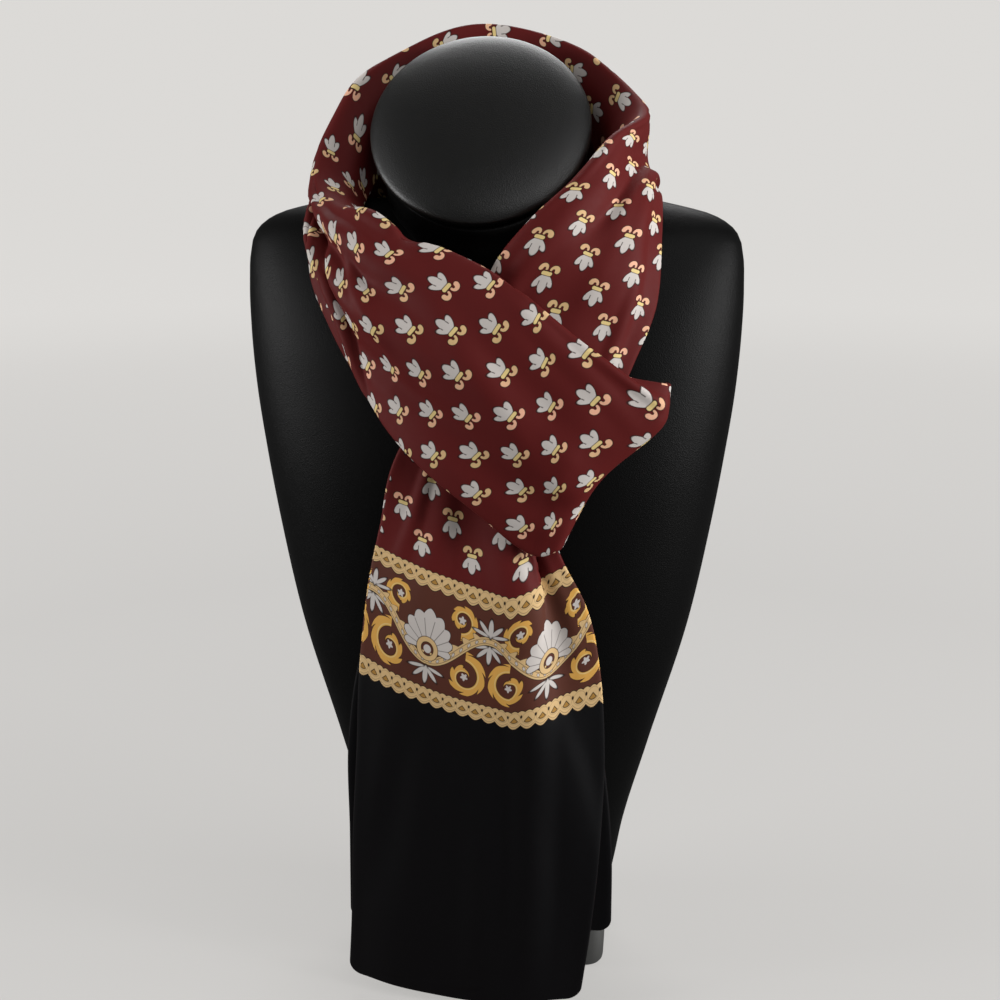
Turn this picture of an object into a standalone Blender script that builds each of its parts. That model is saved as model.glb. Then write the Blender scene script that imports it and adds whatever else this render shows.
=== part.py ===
"""A long scarf wound once round the neck of a limbless display bust, as solids at real size.

Sizes in the tables are millimetres: X to the viewer's right, Y away from the viewer, Z up from the floor.
The cloth is one strip, lofted through a table of cross-sections from the hem of the front tail, up the
right side of the chest, round behind the neck, down the left side, across the chest and down behind the
front tail. It is cut into the stretches that show, a small gap apart.
"""

import math
from collections import namedtuple

import bpy
import numpy as np

MM = 0.001

# The cloth: two plies of a light scarf, folded lengthwise.
CLOTH_THICK = 2.0
SEAM_GAP = 0.7
CLOTH_STEP = 13.0  # distance between rows of the mesh along the scarf
CLOTH_COLUMNS = 13
ACROSS_KNOTS = np.array([0.0, 0.15, 0.3, 0.65, 1.0])  # inner edge, flap, crest, panel, outer edge
SLOPE_STEP = 0.004  # share of a section or of the width, for slopes

# The bust.
RING_POINTS = 36
BODY_SQUARENESS = 2.3  # 2 is an ellipse
FOOT_SQUARENESS = 10.0
BODY_STEP = 26.0
FOOT_TOP = 30.0
FOOT_GAP = 0.3
CAP_CENTRE = (-6.8, -13.7, 525.3)
CAP_TILT = 50.0  # degrees from lying flat
CAP_HALF_WIDTH = 65.5
CAP_HALF_LENGTH = 69.5
CAP_THICK = 7.0
CAP_GAP = 0.3

# One row for each cross-section of the cloth, in order along the scarf. The inner edge is the one nearer the
# neck, the crest is where the cloth turns outwards, and each bow is how far the flap inside the crest or the
# panel outside it swells from a straight line. A pull moves the panel's middle by so much.
Section = namedtuple("Section", "inner crest outer bow_in bow_out pull", defaults=[(0, 0, 0)])
SECTIONS = [
    # front tail, from the hem up: the inner edge is on the left
    Section((-83, -84, 11), (-24, -99, 6), (60, -98, 9), 3, 6),
    Section((-80, -87, 50), (-26, -100, 49), (65, -98, 50), 3, 5),
    Section((-77, -90, 111), (-26, -101, 111), (70, -95, 111), 2, 6),
    Section((-73, -91, 168), (-26, -102, 168), (72, -92, 168), 2, 7),
    Section((-70, -91, 219), (-25, -102, 217), (68, -90, 222), 2, 7),
    Section((-64, -90, 268), (-24, -98, 265), (60, -90, 258), 2, 6),
    Section((-57, -85, 303), (-22, -89, 301), (42, -86, 297), 1, 3),
    Section((-49, -79, 340), (-20, -80, 339), (50, -80, 331), 0, 1),
    # under the crossing, then up the right side of the chest
    Section((-16, -75, 398), (-7, -79, 392), (64, -76, 354), 1, 3),
    Section((12, -66, 453), (8, -77, 448), (84, -64, 396), 2, 6),
    Section((24, -60, 462), (29, -74, 476), (96, -53, 428), 2, 9),
    Section((43, -54, 474), (50, -62, 496), (98, -37, 464), 3, 8),
    Section((58, -34, 480), (66, -42, 515), (98, -6, 485), 4, 4),
    # behind the neck, from right to left
    Section((64, -4, 492), (84, 0, 535), (92, 42, 463), 5, 2),
    Section((58, 24, 515), (72, 19, 550), (80, 56, 455), 4, 4),
    Section((42, 42, 535), (52, 35, 566), (58, 64, 450), 4, 5),
    Section((16, 52, 552), (20, 47, 579), (24, 68, 446), 3, 6),
    Section((-20, 52, 555), (-20, 49, 583), (-20, 69, 445), 3, 6),
    Section((-50, 40, 536), (-56, 38, 569), (-60, 63, 449), 4, 5),
    Section((-66, 18, 508), (-83, 20, 549), (-88, 52, 458), 4, 4),
    # over the left shoulder, gathered
    Section((-74, -6, 487), (-97, -2, 519), (-100, 24, 484), 5, 2),
    Section((-76, -22, 478), (-99, -23, 495), (-102, -24, 480), 4, 1),
    Section((-70, -40, 470), (-89, -42, 482), (-101, -50, 442), 3, 4),
    Section((-60, -52, 464), (-70, -60, 476), (-89, -62, 416), 3, 9),
    # the band across the chest
    Section((-42, -64, 458), (-47, -74, 466), (-72, -72, 388), 3, 13),
    Section((-20, -72, 455), (-22, -81, 462), (-53, -81, 363), 2, 15),
    Section((8, -84, 444), (6, -91, 449), (-25, -92, 338), 2, 14),
    Section((27, -91, 430), (25, -97, 435), (3, -98, 317), 1, 13),
    Section((48, -94, 414), (45, -100, 419), (23, -101, 299), 1, 11),
    Section((79, -97, 393), (77, -103, 392), (36, -103, 293), 1, 8, (-4, 0, 2)),
    Section((102, -94, 388), (100, -99, 370), (46, -101, 297), 1, 2, (-8, 0, 3)),
    # the turn at the right end, and back behind the front tail
    Section((101, -80, 385), (97, -80, 366), (45, -79, 298), 1, 1, (-8, 0, 3)),
    Section((86, -72, 360), (72, -73, 346), (24, -75, 291), 0, 0, (-4, 0, 2)),
    Section((56, -73, 330), (44, -74, 318), (-8, -75, 289), 0, 0),
    Section((40, -75, 298), (24, -76, 292), (-40, -76, 282), 0, 1),
    Section((48, -78, 262), (26, -79, 260), (-60, -78, 254), 0, 1),
    Section((61, -79, 220), (30, -80, 220), (-72, -79, 219), 0, 2),
    # back tail
    Section((70, -79, 168), (30, -82, 168), (-80, -80, 168), 0, 3),
    Section((77, -80, 104), (30, -84, 104), (-81, -80, 104), 0, 3),
    Section((78, -80, 45), (30, -84, 46), (-82, -80, 46), 0, 3),
]
# Which run of sections each stretch covers, and its colour.
Stretch = namedtuple("Stretch", "name first last colour")
BURGUNDY = (0.13, 0.012, 0.018)
BLACK_CLOTH = (0.008, 0.008, 0.010)
STRETCHES = [
    Stretch("scarf_front_tail", 0.0, 7.5, BLACK_CLOTH),
    Stretch("scarf_right_stretch", 7.5, 13.0, BURGUNDY),
    Stretch("scarf_collar_back", 13.0, 19.6, BURGUNDY),
    Stretch("scarf_left_stretch", 19.6, 23.5, BURGUNDY),
    Stretch("scarf_crossing_band", 23.5, 30.5, BURGUNDY),
    Stretch("scarf_tuck", 30.5, 36.5, BURGUNDY),
    Stretch("scarf_back_tail", 36.5, 39.0, BLACK_CLOTH),
]
CLOTH_ROUGHNESS = 0.62

# One row for each of the largest folds: the sections it runs between, its place across the width at either
# end, its height (negative for a trough) and half its width as a share of the cloth's width.
Fold = namedtuple("Fold", "first last across_first across_last height half_width")
FOLDS = [
    # front tail: a long soft fold on the right, and the gathers where it leaves the crossing
    Fold(0.0, 6.0, 0.74, 0.66, 4.0, 0.13),
    Fold(3.4, 7.2, 0.86, 0.80, -4.0, 0.10),
    Fold(4.0, 7.2, 0.22, 0.34, 2.5, 0.12),
    # right stretch
    Fold(8.6, 13.4, 0.60, 0.56, -3.5, 0.12),
    Fold(9.2, 13.8, 0.80, 0.76, 3.0, 0.11),
    # behind the neck
    Fold(13.2, 19.4, 0.52, 0.50, -3.0, 0.10),
    Fold(13.8, 19.8, 0.76, 0.78, 3.5, 0.12),
    # pleats gathered over the left shoulder, running out across the band
    Fold(19.6, 25.0, 0.50, 0.46, 4.0, 0.08),
    Fold(20.0, 25.6, 0.63, 0.53, -3.5, 0.07),
    Fold(19.8, 27.0, 0.77, 0.62, 4.0, 0.10),
    Fold(22.0, 27.6, 0.90, 0.76, -2.5, 0.08),
    Fold(25.0, 30.2, 0.86, 0.80, -3.0, 0.10),
    # back tail
    Fold(34.5, 39.0, 0.30, 0.36, 2.5, 0.14),
]

# Heights of the bust's level sections, with half the width and the depth in front and behind.
Level = namedtuple("Level", "height half_width front back")
BODY_LEVELS = [
    Level(FOOT_TOP + FOOT_GAP, 75.5, 54, 46),
    Level(57, 80.7, 55, 46),
    Level(79, 84.5, 56, 46),
    Level(140, 100.5, 60, 47),
    Level(225, 124, 66, 49),
    Level(281, 134.5, 70, 50),
    Level(330, 142, 71, 51),
    Level(370, 147, 67, 52),
    Level(405, 149.3, 61, 52),
    Level(433, 149.5, 52, 49),
    Level(452, 148, 43, 43),
    Level(463, 144.5, 36, 37),
    Level(470, 137, 29, 31),
    Level(475, 126, 23, 25),
    Level(479, 110, 18, 21),
    Level(482, 96, 13, 16),
]
# Rings of the neck: centre, lean from lying flat in degrees, and half its width and length.
Ring = namedtuple("Ring", "centre lean half_width half_length")
NECK_RINGS = [
    Ring((0, 0, 430), 0, 63, 44),
    Ring((0, 3, 455), 8, 64, 51),
    Ring((-2, 1, 480), 22, 61, 55),
    Ring((-4.5, -4, 501), 36, 60, 60),
    Ring((-6.8, -9.4, 519.1), CAP_TILT, 60.5, 66.5),
]
# The cap's profile: height over the neck's end as a share of its thickness, and its size there.
Profile = namedtuple("Profile", "rise size")
CAP_PROFILE = [
    Profile(0.0, 0.955),
    Profile(0.16, 0.99),
    Profile(0.35, 1.0),
    Profile(0.72, 0.995),
    Profile(0.93, 0.965),
    Profile(1.06, 0.86),
    Profile(1.18, 0.60),
    Profile(1.24, 0.30),
]
FOOT_LEVELS = [
    Level(0.0, 72.5, 51, 43),
    Level(2.0, 74.5, 53, 45),
    Level(FOOT_TOP, 75.5, 54, 46),
]
LEATHERETTE = (0.012, 0.012, 0.013)
LEATHERETTE_ROUGHNESS = 0.48
FOOT_COLOUR = (0.03, 0.03, 0.032)


def clear_scene():
    for old in list(bpy.data.objects):
        bpy.data.objects.remove(old)


def curve_through(knots, points, at):
    """Points at the places `at` on a smooth curve through `points`, one for each knot."""
    gaps = np.diff(knots)
    shape = (-1,) + (1,) * (points.ndim - 1)
    slopes = np.diff(points, axis=0) / gaps.reshape(shape)
    before = gaps[:-1].reshape(shape)
    after = gaps[1:].reshape(shape)
    inside = (slopes[:-1] * after + slopes[1:] * before) / (before + after)
    tangents = np.concatenate([slopes[:1], inside, slopes[-1:]])
    index = np.clip(np.searchsorted(knots, at, side="right") - 1, 0, len(gaps) - 1)
    length = gaps[index].reshape(shape)
    part = ((at - knots[index]) / gaps[index]).reshape(shape)
    return (
        (2 * part**3 - 3 * part**2 + 1) * points[index]
        + (part**3 - 2 * part**2 + part) * length * tangents[index]
        + (3 * part**2 - 2 * part**3) * points[index + 1]
        + (part**3 - part**2) * length * tangents[index + 1]
    )


def unit(vectors):
    return vectors / np.linalg.norm(vectors, axis=-1, keepdims=True)


def section_lines():
    """Five guide points for each section, and the distance of each section along the scarf."""
    inner, crest, outer = (
        np.array([getattr(row, edge) for row in SECTIONS], float) for edge in ("inner", "crest", "outer")
    )
    bow_in, bow_out = (
        np.array([[getattr(row, bow)] for row in SECTIONS], float) for bow in ("bow_in", "bow_out")
    )
    middle = (crest + outer) / 2
    steps = np.linalg.norm(np.diff(middle, axis=0), axis=1)
    distance = np.concatenate([[0.0], np.cumsum(steps)])
    along = np.gradient(middle, distance, axis=0)
    swell_in = unit(np.cross(crest - inner, along))
    swell_out = unit(np.cross(outer - crest, along))
    flap = (inner + crest) / 2 + swell_in * bow_in
    pull = np.array([row.pull for row in SECTIONS], float)
    panel = (crest + outer) / 2 + swell_out * bow_out + pull
    return distance, np.stack([inner, flap, crest, panel, outer], axis=1)


DISTANCE, GUIDES = section_lines()


def smooth_bump(offset):
    """1 in the middle, 0 from a distance of 1 outwards, level at both."""
    near = np.clip(np.abs(offset), 0, 1)
    return (1 + np.cos(math.pi * near)) / 2


def bare_surface(places, shares):
    """The strip before its folds, at distances along the scarf and shares of its width."""
    guides = curve_through(DISTANCE, GUIDES, places)
    across = curve_through(ACROSS_KNOTS, guides.transpose(1, 0, 2), shares)
    return across.transpose(1, 0, 2)


def across_of(surface, places, shares):
    """Unit vectors along a section, from its inner edge to its outer one."""
    left, right = np.maximum(shares - SLOPE_STEP, 0), np.minimum(shares + SLOPE_STEP, 1)
    return unit(surface(places, right) - surface(places, left))


def normals_of(surface, places, shares):
    """Unit vectors out of the cloth, away from the bust on the stretches that lie on it."""
    span = SLOPE_STEP * DISTANCE[-1] / len(DISTANCE)
    low, high = np.maximum(places - span, 0), np.minimum(places + span, DISTANCE[-1])
    along = surface(high, shares) - surface(low, shares)
    return unit(np.cross(across_of(surface, places, shares), along))


def fold_height(places, shares):
    """How far the folds lift the cloth off the bare strip."""
    sections = np.interp(places, DISTANCE, np.arange(len(DISTANCE)))
    height = np.zeros((len(places), len(shares)))
    for fold in FOLDS:
        progress = (sections - fold.first) / (fold.last - fold.first)
        centre = fold.across_first + (fold.across_last - fold.across_first) * progress
        fade = smooth_bump(np.clip(2 * progress - 1, -1, 1)) ** 0.5
        offset = (shares[None, :] - centre[:, None]) / fold.half_width
        height += fold.height * fade[:, None] * smooth_bump(offset)
    return height


def folded_surface(places, shares):
    lift = fold_height(places, shares)[:, :, None]
    return bare_surface(places, shares) + normals_of(bare_surface, places, shares) * lift


def make_object(name, points, faces, colour, roughness):
    """A closed mesh from points in millimetres, with a material of its own."""
    mesh = bpy.data.meshes.new(name)
    mesh.from_pydata([tuple(p) for p in np.asarray(points) * MM], [], faces)
    mesh.validate()
    mesh.shade_smooth()
    material = bpy.data.materials.new(name + "_finish")
    material.use_nodes = True
    shader = material.node_tree.nodes["Principled BSDF"]
    shader.inputs["Base Color"].default_value = (*colour, 1.0)
    shader.inputs["Roughness"].default_value = roughness
    shader.inputs["Metallic"].default_value = 0.0
    mesh.materials.append(material)
    made = bpy.data.objects.new(name, mesh)
    bpy.context.scene.collection.objects.link(made)
    return made


def wall_faces(rows, columns):
    """Faces of a sheet of rows x columns points with a second one behind it, closed round the edge."""
    behind = rows * columns
    faces = []
    for r in range(rows - 1):
        for c in range(columns - 1):
            a = r * columns + c
            faces.append((a, a + 1, a + columns + 1, a + columns))
            faces.append((behind + a, behind + a + columns, behind + a + columns + 1, behind + a + 1))
    rim = list(range(columns))
    rim += [r * columns + columns - 1 for r in range(1, rows)]
    rim += [(rows - 1) * columns + c for c in range(columns - 2, -1, -1)]
    rim += [r * columns for r in range(rows - 2, 0, -1)]
    for a, b in zip(rim, rim[1:] + rim[:1]):
        faces.append((b, a, behind + a, behind + b))
    return faces


def build_stretch(stretch):
    """One stretch of the cloth, a wall of even thickness."""
    first, last = np.interp([stretch.first, stretch.last], np.arange(len(DISTANCE)), DISTANCE)
    rows = max(4, round((last - first) / CLOTH_STEP) + 1)
    places = np.linspace(first, last, rows)
    shares = np.linspace(0, 1, CLOTH_COLUMNS)
    middle = folded_surface(places, shares)
    normals = normals_of(folded_surface, places, shares)
    ahead = np.cross(normals, across_of(folded_surface, places, shares))
    middle[0] += ahead[0] * SEAM_GAP / 2
    middle[-1] -= ahead[-1] * SEAM_GAP / 2
    offset = normals * CLOTH_THICK / 2
    points = np.concatenate([(middle + offset).reshape(-1, 3), (middle - offset).reshape(-1, 3)])
    return make_object(stretch.name, points, wall_faces(rows, CLOTH_COLUMNS), stretch.colour, CLOTH_ROUGHNESS)


def ring_faces(rings, count):
    """Side faces between stacked rings of `count` points, and a flat face at either end."""
    faces = []
    for r in range(rings - 1):
        for c in range(count):
            a, b = r * count + c, r * count + (c + 1) % count
            faces.append((a, b, b + count, a + count))
    faces.append(tuple(reversed(range(count))))
    faces.append(tuple(range((rings - 1) * count, rings * count)))
    return faces


def level_ring(level, squareness):
    """A rounded-off oblong at one height, deeper in front or behind as its row says."""
    angles = np.linspace(0, 2 * math.pi, RING_POINTS, endpoint=False)
    cosine, sine = np.cos(angles), np.sin(angles)
    power = 2 / squareness
    depth = np.where(sine < 0, level.front, level.back)
    x = level.half_width * np.sign(cosine) * np.abs(cosine) ** power
    y = depth * np.sign(sine) * np.abs(sine) ** power
    return np.stack([x, y, np.full(RING_POINTS, float(level.height))], axis=1)


def leaning_ring(centre, lean, half_width, half_length):
    """An ellipse that leans forward by `lean` degrees."""
    angles = np.linspace(0, 2 * math.pi, RING_POINTS, endpoint=False)
    slope = math.radians(lean)
    back = np.array([0.0, math.cos(slope), math.sin(slope)])
    side = np.array([1.0, 0.0, 0.0])
    return (
        np.array(centre, float)
        + half_width * np.cos(angles)[:, None] * side
        + half_length * np.sin(angles)[:, None] * back
    )


def build_rings(name, rings, colour, roughness):
    return make_object(name, np.concatenate(rings), ring_faces(len(rings), RING_POINTS), colour, roughness)


def smooth_levels(rows, step):
    """Levels about `step` apart on a smooth curve through the given ones, which stay."""
    table = np.array(rows, float)
    heights = [table[0, 0]]
    for low, high in zip(table[:, 0], table[1:, 0]):
        parts = max(1, round((high - low) / step))
        heights += list(np.linspace(low, high, parts + 1)[1:])
    return [Level(*row) for row in curve_through(table[:, 0], table, np.array(heights))]


def build_bust_form():
    """Shoulders, chest and waist, with the neck joined on."""
    levels = smooth_levels(BODY_LEVELS, BODY_STEP)
    outlines = [level_ring(row, BODY_SQUARENESS) for row in levels]
    body = build_rings("bust_form", outlines, LEATHERETTE, LEATHERETTE_ROUGHNESS)
    neck_outlines = [leaning_ring(*row) for row in NECK_RINGS]
    neck = build_rings("neck_shape", neck_outlines, LEATHERETTE, LEATHERETTE_ROUGHNESS)
    neck.hide_render = True
    neck.display_type = "WIRE"
    join = body.modifiers.new("neck", "BOOLEAN")
    join.operation = "UNION"
    join.object = neck


def build_neck_cap():
    """The oval end of the neck, slightly domed."""
    slope = math.radians(CAP_TILT)
    outward = np.array([0.0, -math.sin(slope), math.cos(slope)])
    foot = np.array(CAP_CENTRE) - outward * (CAP_THICK - CAP_GAP)
    rings = [
        leaning_ring(
            foot + outward * row.rise * (CAP_THICK - CAP_GAP),
            CAP_TILT,
            CAP_HALF_WIDTH * row.size,
            CAP_HALF_LENGTH * row.size,
        )
        for row in CAP_PROFILE
    ]
    build_rings("neck_cap", rings, LEATHERETTE, LEATHERETTE_ROUGHNESS)


def stand_on_origin():
    """Moves every object so that the whole stands on the origin, at the middle of its outline from above."""
    shown = [o for o in bpy.context.scene.objects if not o.hide_render]
    corners = np.array([o.matrix_world @ v.co for o in shown for v in o.data.vertices])
    low, high = corners.min(axis=0), corners.max(axis=0)
    for made in bpy.context.scene.objects:
        made.location = (-(low[0] + high[0]) / 2, -(low[1] + high[1]) / 2, -low[2])


def main():
    clear_scene()
    build_bust_form()
    build_neck_cap()
    foot_outlines = [level_ring(row, FOOT_SQUARENESS) for row in FOOT_LEVELS]
    build_rings("bust_foot", foot_outlines, FOOT_COLOUR, LEATHERETTE_ROUGHNESS)
    for stretch in STRETCHES:
        build_stretch(stretch)
    stand_on_origin()


main()
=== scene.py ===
"""A long printed scarf wound round the neck of a limbless display bust: shapes, finishes, light and camera.

Sizes are millimetres, X to the viewer's right, Y away from the viewer, Z up from the floor. MM turns them
into the frame's metres. The scarf is one strip of doubled cloth; places on it are told by the distance along
it from the hem of the front end and by the share of its width from the inner edge to the outer one.
"""

from __future__ import annotations

import logging
import math
from dataclasses import dataclass, field
from enum import Enum
from typing import Callable, NamedTuple, Sequence

import bpy
import numpy as np
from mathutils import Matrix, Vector


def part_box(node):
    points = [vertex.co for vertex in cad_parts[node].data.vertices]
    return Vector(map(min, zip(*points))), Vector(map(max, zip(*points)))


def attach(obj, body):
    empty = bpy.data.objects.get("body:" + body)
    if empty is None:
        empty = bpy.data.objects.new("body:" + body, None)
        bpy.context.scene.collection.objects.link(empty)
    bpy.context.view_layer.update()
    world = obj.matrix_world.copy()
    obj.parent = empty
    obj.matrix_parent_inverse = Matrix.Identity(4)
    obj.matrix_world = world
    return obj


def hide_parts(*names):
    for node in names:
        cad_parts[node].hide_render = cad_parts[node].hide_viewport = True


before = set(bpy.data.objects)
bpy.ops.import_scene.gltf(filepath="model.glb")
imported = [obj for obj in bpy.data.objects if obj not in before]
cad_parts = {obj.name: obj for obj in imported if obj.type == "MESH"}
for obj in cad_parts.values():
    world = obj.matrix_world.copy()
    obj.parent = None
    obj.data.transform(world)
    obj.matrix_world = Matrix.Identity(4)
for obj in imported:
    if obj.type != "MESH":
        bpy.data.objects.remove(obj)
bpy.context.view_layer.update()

MM = 0.001
FOOT_MIDDLE = -4.0  # where the foot's middle lies, along Y, in the sizes' own measure
Colour = tuple[float, float, float]
Point = tuple[float, float, float]

log = logging.getLogger("scarf")


def linear(red: int, green: int, blue: int) -> Colour:
    """A colour given as it looks on a screen, 0 to 255, as the shader's linear light."""
    shares = (np.array([red, green, blue]) / 255 + 0.055) / 1.055
    return tuple(float(s) for s in shares**2.4)


# ----------------------------------------------------------------------------------------------------
# Shared geometry
# ----------------------------------------------------------------------------------------------------


def curve_through(knots: np.ndarray, points: np.ndarray, at: np.ndarray) -> np.ndarray:
    """Reads a smooth curve that passes through given points.

    Args:
        knots: one number for each point, rising.
        points: the points, first index along the curve.
        at: the places to read, in the knots' own measure.

    Returns:
        One point for each place.
    """
    gaps = np.diff(knots)
    shape = (-1,) + (1,) * (points.ndim - 1)
    slopes = np.diff(points, axis=0) / gaps.reshape(shape)
    before = gaps[:-1].reshape(shape)
    after = gaps[1:].reshape(shape)
    inside = (slopes[:-1] * after + slopes[1:] * before) / (before + after)
    tangents = np.concatenate([slopes[:1], inside, slopes[-1:]])
    index = np.clip(np.searchsorted(knots, at, side="right") - 1, 0, len(gaps) - 1)
    length = gaps[index].reshape(shape)
    part = ((at - knots[index]) / gaps[index]).reshape(shape)
    return (
        (2 * part**3 - 3 * part**2 + 1) * points[index]
        + (part**3 - 2 * part**2 + part) * length * tangents[index]
        + (3 * part**2 - 2 * part**3) * points[index + 1]
        + (part**3 - part**2) * length * tangents[index + 1]
    )


def unit(vectors: np.ndarray) -> np.ndarray:
    """The same directions with a length of one."""
    return vectors / np.linalg.norm(vectors, axis=-1, keepdims=True)


def smooth_bump(offset: np.ndarray) -> np.ndarray:
    """1 in the middle, 0 from a distance of 1 outwards, level at both."""
    return (1 + np.cos(math.pi * np.clip(np.abs(offset), 0, 1))) / 2


def grid_faces(rows: int, count: int) -> list[tuple[int, ...]]:
    """Faces of a tube through rings of points, without its ends.

    Args:
        rows: how many rings it has.
        count: how many points each ring has.

    Returns:
        The vertex numbers of each face.
    """
    return [
        (r * count + c, r * count + (c + 1) % count, (r + 1) * count + (c + 1) % count, (r + 1) * count + c)
        for r in range(rows - 1)
        for c in range(count)
    ]


def closed_tube_faces(rows: int, count: int) -> list[tuple[int, ...]]:
    """Faces of a tube through rings of points, with both ends shut.

    Args:
        rows: how many rings it has.
        count: how many points each ring has.

    Returns:
        The vertex numbers of each face.
    """
    return [
        *grid_faces(rows, count),
        tuple(reversed(range(count))),
        tuple(range((rows - 1) * count, rows * count)),
    ]


def make_piece(name: str, points: np.ndarray, faces: Sequence[Sequence[int]], material: bpy.types.Material,
               shift: np.ndarray) -> bpy.types.Object:
    """Makes a smooth-shaded mesh object.

    Args:
        name: the piece's name.
        points: its vertices in millimetres.
        faces: the vertex numbers of each face.
        material: its finish.
        shift: how far the frame's origin lies from the sizes' own, in millimetres.

    Returns:
        The new object, linked to the scene.
    """
    mesh = bpy.data.meshes.new(name)
    mesh.from_pydata((np.asarray(points) + shift).astype(float) * MM, [], faces)
    mesh.validate()
    mesh.shade_smooth()
    mesh.materials.append(material)
    piece = bpy.data.objects.new(name, mesh)
    bpy.context.scene.collection.objects.link(piece)
    return piece


def declare(piece: bpy.types.Object, slot: str, *nodes: str) -> None:
    """Puts a piece on the object's one body and says what it stands for.

    Args:
        piece: the piece.
        slot: not used.
        nodes: the nodes that it replaces.
    """
    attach(piece, "root")
    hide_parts(*nodes)
    log.info("%s: %d faces, stands for %s", piece.name, len(piece.data.polygons), ", ".join(nodes))


# ----------------------------------------------------------------------------------------------------
# Fields: numbers that vary over the cloth, as sockets of a node tree
# ----------------------------------------------------------------------------------------------------


class Field:
    """A number that varies over a surface, worked out by maths nodes."""

    def __init__(self, tree: bpy.types.NodeTree, socket: bpy.types.NodeSocket) -> None:
        """Wraps an output socket of the tree."""
        self.tree = tree
        self.socket = socket

    def apply(self, operation: str, *others: "Field | float", clamp: bool = False) -> "Field":
        """Adds one maths node.

        Args:
            operation: the node's operation.
            others: its second and third inputs.
            clamp: whether the result is kept from 0 to 1.

        Returns:
            The node's result.
        """
        node = self.tree.nodes.new("ShaderNodeMath")
        node.operation = operation
        node.use_clamp = clamp
        for socket, value in zip(node.inputs, (self, *others)):
            if isinstance(value, Field):
                self.tree.links.new(value.socket, socket)
            else:
                socket.default_value = value
        return Field(self.tree, node.outputs[0])

    def __add__(self, other: "Field | float") -> "Field":
        """The sum."""
        return self.apply("ADD", other)

    def __sub__(self, other: "Field | float") -> "Field":
        """The difference."""
        return self.apply("SUBTRACT", other)

    def __mul__(self, other: "Field | float") -> "Field":
        """The product."""
        return self.apply("MULTIPLY", other)

    def __truediv__(self, other: "Field | float") -> "Field":
        """The quotient."""
        return self.apply("DIVIDE", other)

    def __neg__(self) -> "Field":
        """The number with its sign turned."""
        return self.apply("MULTIPLY", -1.0)

    def size(self) -> "Field":
        """The number without its sign."""
        return self.apply("ABSOLUTE")

    def least(self, other: "Field | float") -> "Field":
        """The smaller of two."""
        return self.apply("MINIMUM", other)

    def most(self, other: "Field | float") -> "Field":
        """The larger of two."""
        return self.apply("MAXIMUM", other)

    def cosine(self) -> "Field":
        """The cosine, of radians."""
        return self.apply("COSINE")

    def root(self) -> "Field":
        """The square root."""
        return self.apply("SQRT")

    def over(self, limit: "Field | float") -> "Field":
        """1 where the number is more than the limit, else 0."""
        return self.apply("GREATER_THAN", limit)

    def centred(self, period: float, offset: float = 0.0) -> "Field":
        """Distance from the nearest repeat, with its sign; one repeat lies at the offset."""
        moved = (self - offset) * (1 / period)
        return (moved - moved.apply("ROUND")) * period

    def inside(self, blur: float) -> "Field":
        """1 where a distance is below 0 and 0 above it, with a soft edge that is `blur` wide."""
        return self.apply("MULTIPLY_ADD", -1 / blur, 0.5, clamp=True)

    def line(self, half_width: float, blur: float) -> "Field":
        """1 on a line where the number passes 0."""
        return (self.size() - half_width).inside(blur)

    def between(self, low: "Field", share: "Field") -> "Field":
        """A mix: `low` where share is 0, this number where it is 1."""
        return (self - low) * share + low


def hypotenuse(first: Field, second: Field) -> Field:
    """The length of a vector with two parts."""
    return (first * first + second * second).root()


def bow(x: Field, y: Field, centre: tuple[float, float], radius: float) -> Field:
    """Distance from the half of a ring that lies above its centre, with round ends.

    Args:
        x: the first coordinate.
        y: the second coordinate, up towards the half that is kept.
        centre: the ring's middle.
        radius: the ring's radius.

    Returns:
        The distance from its middle line, never below 0.
    """
    px, py = x - centre[0], y - centre[1]
    ring = (hypotenuse(px, py) - radius).size()
    ends = hypotenuse(px.size() - radius, py)
    return ring.between(ends, py.over(0.0))


# ----------------------------------------------------------------------------------------------------
# Finishes
# ----------------------------------------------------------------------------------------------------


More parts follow.
